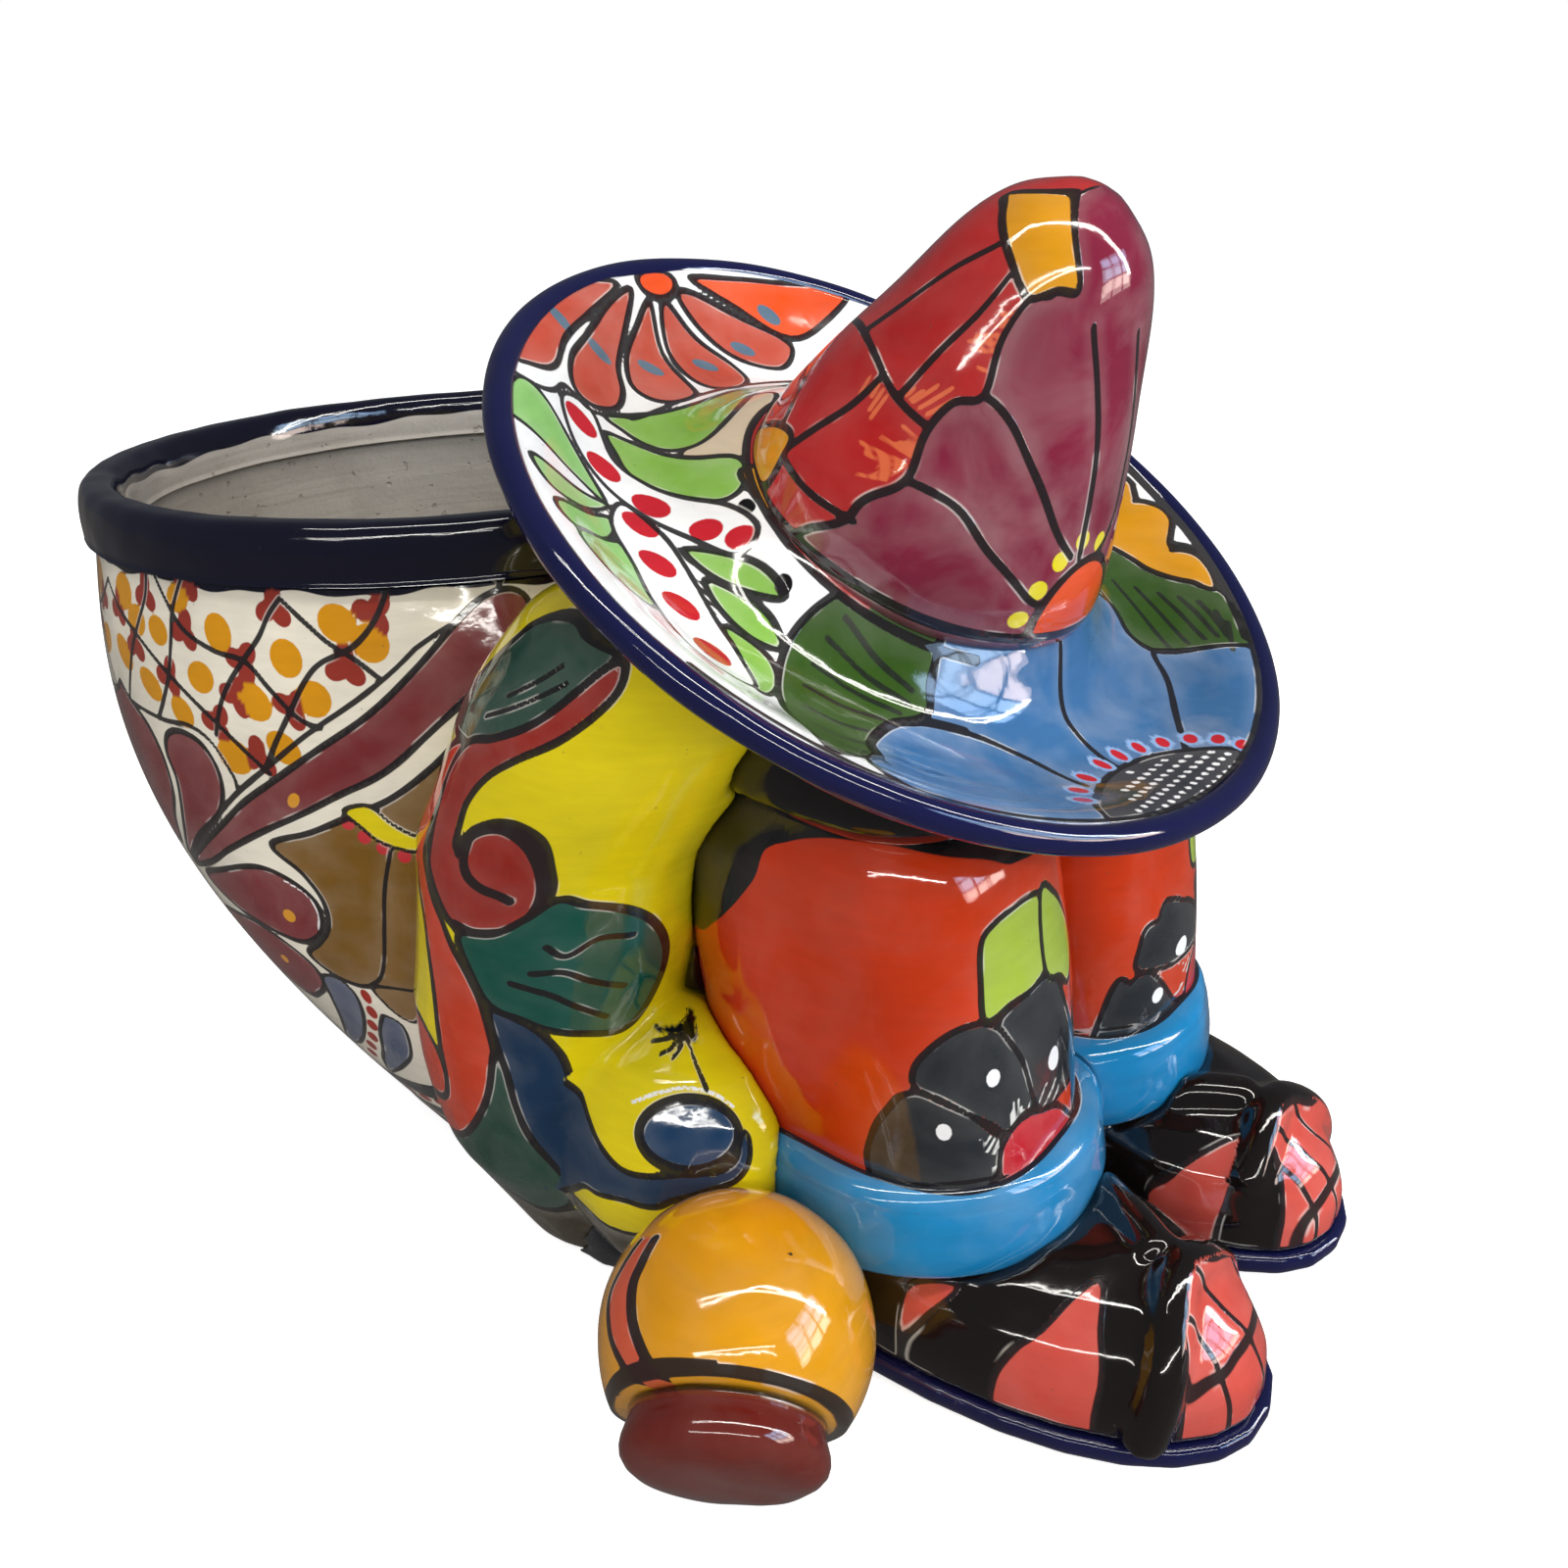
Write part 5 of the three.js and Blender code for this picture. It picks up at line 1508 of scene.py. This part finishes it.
def make_sleeve(name, side):
    sleeve = pressed([name], 1.35, 24, 0.5)
    points = points_of(sleeve)
    right = points * [-side, 1, 1]
    z = np.clip(right[:, 2], 0, SHOULDER)
    roll_x, roll_y = right[:, 0] + sleeve_out(z), right[:, 1] - sleeve_back(z)
    on_roll = np.hypot(roll_x, roll_y) / sleeve_wide(z)
    lobe = (right - HEM_MIDDLE) / HEM_RADII
    on_lobe = np.linalg.norm(lobe, axis=1)
    in_lobe = (on_roll > 1.0 + 0.12 * np.clip((z - 88) / 10, 0, 1)) & (np.abs(on_lobe - 1) < 0.16)
    flat = np.stack([np.arctan2(-roll_y, -roll_x) * ELBOW_RADIUS, z], 1)
    push = np.zeros(len(points))
    for (u, v), (wide, tall), depth in SLEEVE_FOLDS:
        push += depth * np.exp(-(((flat[:, 0] - u) / wide) ** 2) - ((z - v) / tall) ** 2)
    outward = np.stack([roll_x * -side, roll_y], 1) / np.hypot(roll_x, roll_y)[:, None]
    points[:, :2] += outward * (push * ~in_lobe)[:, None]
    set_points(sleeve, points)
    roll_canvas = Canvas(flat, YELLOW, 2.8)
    sleeve_pattern(roll_canvas)
    lobe_turn = np.arctan2(-lobe[:, 1], -lobe[:, 0]) * 45
    lobe_rise = np.arcsin(np.clip(lobe[:, 2] / np.maximum(on_lobe, 0.01), -1, 1)) * 50
    lobe_canvas = Canvas(np.stack([lobe_turn, lobe_rise], 1), YELLOW)
    hem_pattern(lobe_canvas)
    roll_canvas.take(in_lobe, lobe_canvas, in_lobe)
    dress(sleeve, roll_canvas)
    finish_piece(sleeve, name)


make_sleeve("right_sleeve", -1)
make_sleeve("left_sleeve", 1)

# %% [markdown]
# What lies under the hat is plainer: a yellow back, black folded arms and a black head of hair.
# Below 205 mm the back is painted black as shade, where it shows between the sleeves and the
# legs. The shade hides them, but they carry the same shiny glaze.

# %% Body, arms and head
def plain_piece(nodes, colour, voxel, rounds, swell, pattern=None):
    thing = pressed(nodes, voxel, rounds, swell)
    canvas = Canvas(points_of(thing)[:, :2], colour)
    if pattern:
        pattern(canvas, points_of(thing))
    dress(thing, canvas)
    finish_piece(thing, *nodes)


def body_painted_shade(c, points):
    # Painted shade: the back is black below 205 mm, where it shows in the gaps beside the legs.
    c.paint[points[:, 2] < 205] = BLACK


plain_piece(["serape_body"], YELLOW, 2.4, 12, 0.4, body_painted_shade)
plain_piece(["folded_arms"], BLACK, 2.0, 14, 0.5)
plain_piece(["head"], BLACK, 2.2, 8, 0.2)


# %% [markdown]
# A skirt of clay ties the pot's foot to the figure. Its lower half is a dark wash, parted from
# the teal above by a pale band with brick-red dashes.

# %% Skirts
def skirt_pattern(c, points):
    around = np.arctan2(points[:, 1] + FRONT - 32.7, np.abs(points[:, 0])) * 100
    c.flat = np.stack([around, points[:, 2]], 1)
    c.fill([
        (-200, 46), (-100, 46), (0, 42), (100, 40), (200, 38), (200, 29), (100, 31), (0, 33), (-100, 37),
        (-200, 37),
    ], CREAM, 1.5)
    c.fill([(-200, 34), (-100, 34), (0, 30), (100, 28), (200, 26), (200, -6), (-200, -6)], STONE, 1.5)
    for k in range(24):
        c.dot(-160 + 14 * k, 38.5 - 0.012 * (14 * k), 5.4, 2.1, BRICK)


plain_piece(["right_skirt"], TEAL, 1.8, 14, 0.4, skirt_pattern)
plain_piece(["left_skirt"], TEAL, 1.8, 14, 0.4, skirt_pattern)


# %% [markdown]
# The shoes are brown-black sandals with salmon leather at the side and on the toe. Each is
# pressed in one with its strap, and painted from above, so that its plan is the canvas.

# %% Shoes, soles and straps
STRAP_REACH, WELT_TOP = 1.4, 10.5


def cover_strap(c, points, node):
    """The straps stay dark, whatever was painted there, except on their flank that faces the toe."""
    strap = frame["nodes"][node]
    gap = np.full(len(points), FAR)
    toeward = np.zeros(len(points), bool)
    low, high = (np.array(corner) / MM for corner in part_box(node))
    near = np.flatnonzero(((points > low - 4) & (points < high + 4)).all(1))
    for i in near:
        spot = Vector(points[i] * MM)
        _, touch, facing, _ = strap.closest_point_on_mesh(spot)
        gap[i] = (touch - spot).length / MM
        toeward[i] = facing.y < -0.6
    dark = (gap < STRAP_REACH) & ~toeward
    c.paint[dark] = ESPRESSO
    c.ink = np.where(dark, FAR, c.ink)
    c.spot = np.where(dark, FAR, c.spot)


def cover_welt(c, points):
    dark = points[:, 2] < WELT_TOP
    c.paint[dark] = ESPRESSO
    c.ink = np.minimum(c.ink, np.abs(points[:, 2] - WELT_TOP) - 0.9)


def right_shoe_pattern(c):
    c.fill([(-93, -230), (-80, -240), (-62, -248), (-72, -254), (-82, -259), (-96, -250)], SALMON, 1.6)
    c.fill([(-95, -200), (-88, -200), (-83, -213), (-90, -209)], SALMON, 1.4)
    c.fill([
        (-54, -266), (-50.8, -264), (-47, -266), (-40.5, -269.5), (-34, -271.5), (-21, -272.5), (-8, -276),
        (-6, -290), (-20, -300), (-45, -303), (-62, -299), (-76, -287), (-70, -280), (-64, -276),
        (-59, -270),
    ], SALMON, 2.0)
    c.stroke([(-48.5, -266), (-44, -272), (-42.7, -279.3), (-40.9, -286.4), (-39.5, -296)], 1.7)
    c.stroke([(-61.5, -272), (-57, -275.5), (-56.3, -280), (-57, -286), (-58, -296)], 1.7)
    c.stroke([(-24, -271), (-22.5, -278), (-21, -285), (-18, -292)], 1.7)
    c.stroke([
        (-8, -278), (-22.5, -281.5), (-31, -284.5), (-41, -286.4), (-50, -286), (-56, -285), (-64, -281),
        (-72, -276),
    ], 1.7)


def left_shoe_pattern(c):
    c.fill([
        (5, -234), (10, -241), (18, -248), (26, -255.5), (20, -257.5), (10, -258), (0, -248),
    ], SALMON, 1.6)
    c.fill([
        (27, -265.5), (30, -263.5), (33, -263.5), (38, -264), (48, -265), (57, -268.5), (70, -270),
        (78, -280), (66, -290), (45, -297), (28, -294), (12, -286), (16, -276), (20.6, -275), (23.4, -273),
        (26.4, -270),
    ], SALMON, 2.0)
    c.stroke([(31.5, -264), (38, -271), (39.3, -277), (42, -283), (44, -292)], 1.7)
    c.stroke([(27.5, -267), (28.9, -273.8), (29.7, -278.4), (30.5, -282), (31, -292)], 1.7)
    c.stroke([(48, -266), (51.2, -275.6), (60, -286)], 1.7)
    c.stroke([
        (70, -277), (58.2, -281), (48.3, -283), (39.3, -283.2), (31.3, -282.2), (24, -280), (14, -276),
    ], 1.7)


def make_shoe(side, pattern):
    def painted(c, points):
        pattern(c)
        cover_strap(c, points, side + "_strap")
        cover_welt(c, points)

    plain_piece([side + "_shoe", side + "_strap"], ESPRESSO, 1.1, 50, 0.9, painted)


make_shoe("right", right_shoe_pattern)
make_shoe("left", left_shoe_pattern)
plain_piece(["right_sole"], NAVY, 1.2, 8, 0.2)
plain_piece(["left_sole"], NAVY, 1.2, 8, 0.2)
print("pieces made:", len(made))

# %% [markdown]
# The room lights the pot with two long tubes under the ceiling and a window in front. The glaze
# mirrors the tubes as crisp streaks, which is what makes the surface look wet. The window is
# made twice: a soft lamp that the glaze doesn't mirror, and rows of bright panes that nothing
# but the glaze sees. A soft sky fills the shadows. The floor is white to the camera and darker
# to the mirror of the glaze, because a real floor lies in the object's own shade.

# %% Lamps and window
def lamp(name, place, along, size, power, colour=(1.0, 1.0, 1.0)):
    """A flat lamp that faces the planter, with its long side along a direction."""
    data = bpy.data.lights.new(name, "AREA")
    data.shape = "RECTANGLE"
    data.size, data.size_y = size
    data.energy = power
    data.color = colour
    thing = link_object(name, data)
    back = (Vector(place) - Vector((0, -0.05, 0.15))).normalized()
    up = back.cross(Vector(along)).normalized()
    right = up.cross(back)
    thing.matrix_world = Matrix.Translation(place) @ Matrix((right, up, back)).transposed().to_4x4()
    return thing


TUBE_WAY = (0.643, -0.766, 0.0)
TUBE_WARM = (1.0, 0.98, 0.92)
lamp("tube_over", (0.12, -0.83, 1.55), TUBE_WAY, (4.4, 0.06), 33, TUBE_WARM)
lamp("tube_aside", (-1.9, -1.6, 1.6), TUBE_WAY, (3.6, 0.06), 26, TUBE_WARM)
soft_window = lamp("window_pane", (0.6, -2.5, 0.85), (1, 0, 0), (0.7, 1.1), 32, (0.66, 0.83, 1.0))
soft_window.visible_glossy = False

WINDOW_MIDDLE, WINDOW_SIZE = Vector((0.8, -2.5, 1.0)), (1.9, 1.3)
WINDOW_PANES, WINDOW_BAR, WINDOW_STRENGTH = 3, 0.08, 7.5
PANE_LIGHT = ((1.3, 1.05, 0.95), (0.62, 0.84, 1.1), (0.5, 0.74, 1.1))
away = (WINDOW_MIDDLE - Vector((0, -0.1, 0.2))).normalized()
across = Vector((0, 0, 1)).cross(away).normalized()
upward = away.cross(across)


def pane_edge(index, end, size):
    """Where a pane starts or ends between the bars, from the middle of the window."""
    return ((index + WINDOW_BAR + (1 - 2 * WINDOW_BAR) * end) / WINDOW_PANES - 0.5) * size


for row, tint in enumerate(PANE_LIGHT):
    corners, panes = [], []
    for column in range(WINDOW_PANES):
        for x, y in ((0, 0), (1, 0), (1, 1), (0, 1)):
            u, v = pane_edge(column, x, WINDOW_SIZE[0]), pane_edge(row, y, WINDOW_SIZE[1])
            corners.append(WINDOW_MIDDLE + across * u + upward * v)
        panes.append([4 * column + k for k in range(4)])
    pane_mesh = bpy.data.meshes.new(f"window_row_{row}")
    pane_mesh.from_pydata(corners, [], panes)
    daylight = new_material(pane_mesh.name)
    daylight.cycles.emission_sampling = "NONE"
    make = node_maker(daylight)
    bright = make("Emission", {"Color": (*tint, 1.0), "Strength": WINDOW_STRENGTH})
    finish_shader(make, make("BsdfTransparent"), bright, make("LightPath").outputs["Is Glossy Ray"])
    pane_mesh.materials.append(daylight)
    link_object(pane_mesh.name, pane_mesh)
print("window panes:", len(PANE_LIGHT) * WINDOW_PANES)

# %% [markdown]
# The paper floor needs two answers: white where the camera looks at it, and dark grey where the
# glaze mirrors it. Light Path tells the shader which kind of ray has arrived.

# %% Floor and sky
FLOOR_REACH = 14.0
floor_mesh = bpy.data.meshes.new("studio_floor")
floor_corners = [(x * FLOOR_REACH, y * FLOOR_REACH, 0) for x, y in ((-1, -1), (1, -1), (1, 1), (-1, 1))]
floor_mesh.from_pydata(floor_corners, [], [(0, 1, 2, 3)])
studio_floor = link_object("studio_floor", floor_mesh)
studio_floor.location.z = -0.0004
paper = new_material("pale_paper")
make = node_maker(paper)
rays = make("LightPath").outputs
shade = make("BsdfDiffuse", {"Color": (0.8, 0.8, 0.8, 1.0)})
to_camera = maths(make, "MULTIPLY", rays["Is Camera Ray"], 0.75)
glow = make("Emission", {"Color": (1.0, 1.0, 1.0, 1.0), "Strength": to_camera})
both = make("AddShader")
feed(both.inputs[0], shade.outputs[0])
feed(both.inputs[1], glow.outputs[0])
mirrored_floor = make("Emission", {"Color": (0.11, 0.105, 0.10, 1.0), "Strength": 1.0})
finish_shader(make, both, mirrored_floor, rays["Is Glossy Ray"])
floor_mesh.materials.append(paper)

sky = bpy.data.worlds.new("studio_sky")
bpy.context.scene.world = sky
sky.use_nodes = True
sky.node_tree.nodes.clear()
make = node_maker(sky)
rays = make("LightPath").outputs
fill = mixed(make, "MIX", rays["Is Glossy Ray"], (0.45, 0.455, 0.47, 1.0), (0.09, 0.095, 0.105, 1.0))
tint = mixed(make, "MIX", rays["Is Camera Ray"], fill, (1.0, 1.0, 1.0, 1.0))
air = make("Background", {"Color": tint, "Strength": 1.0})
make("OutputWorld", {"Surface": air.outputs[0]})
bpy.context.scene.view_settings.view_transform = "Standard"
print("lamps and floor stand")
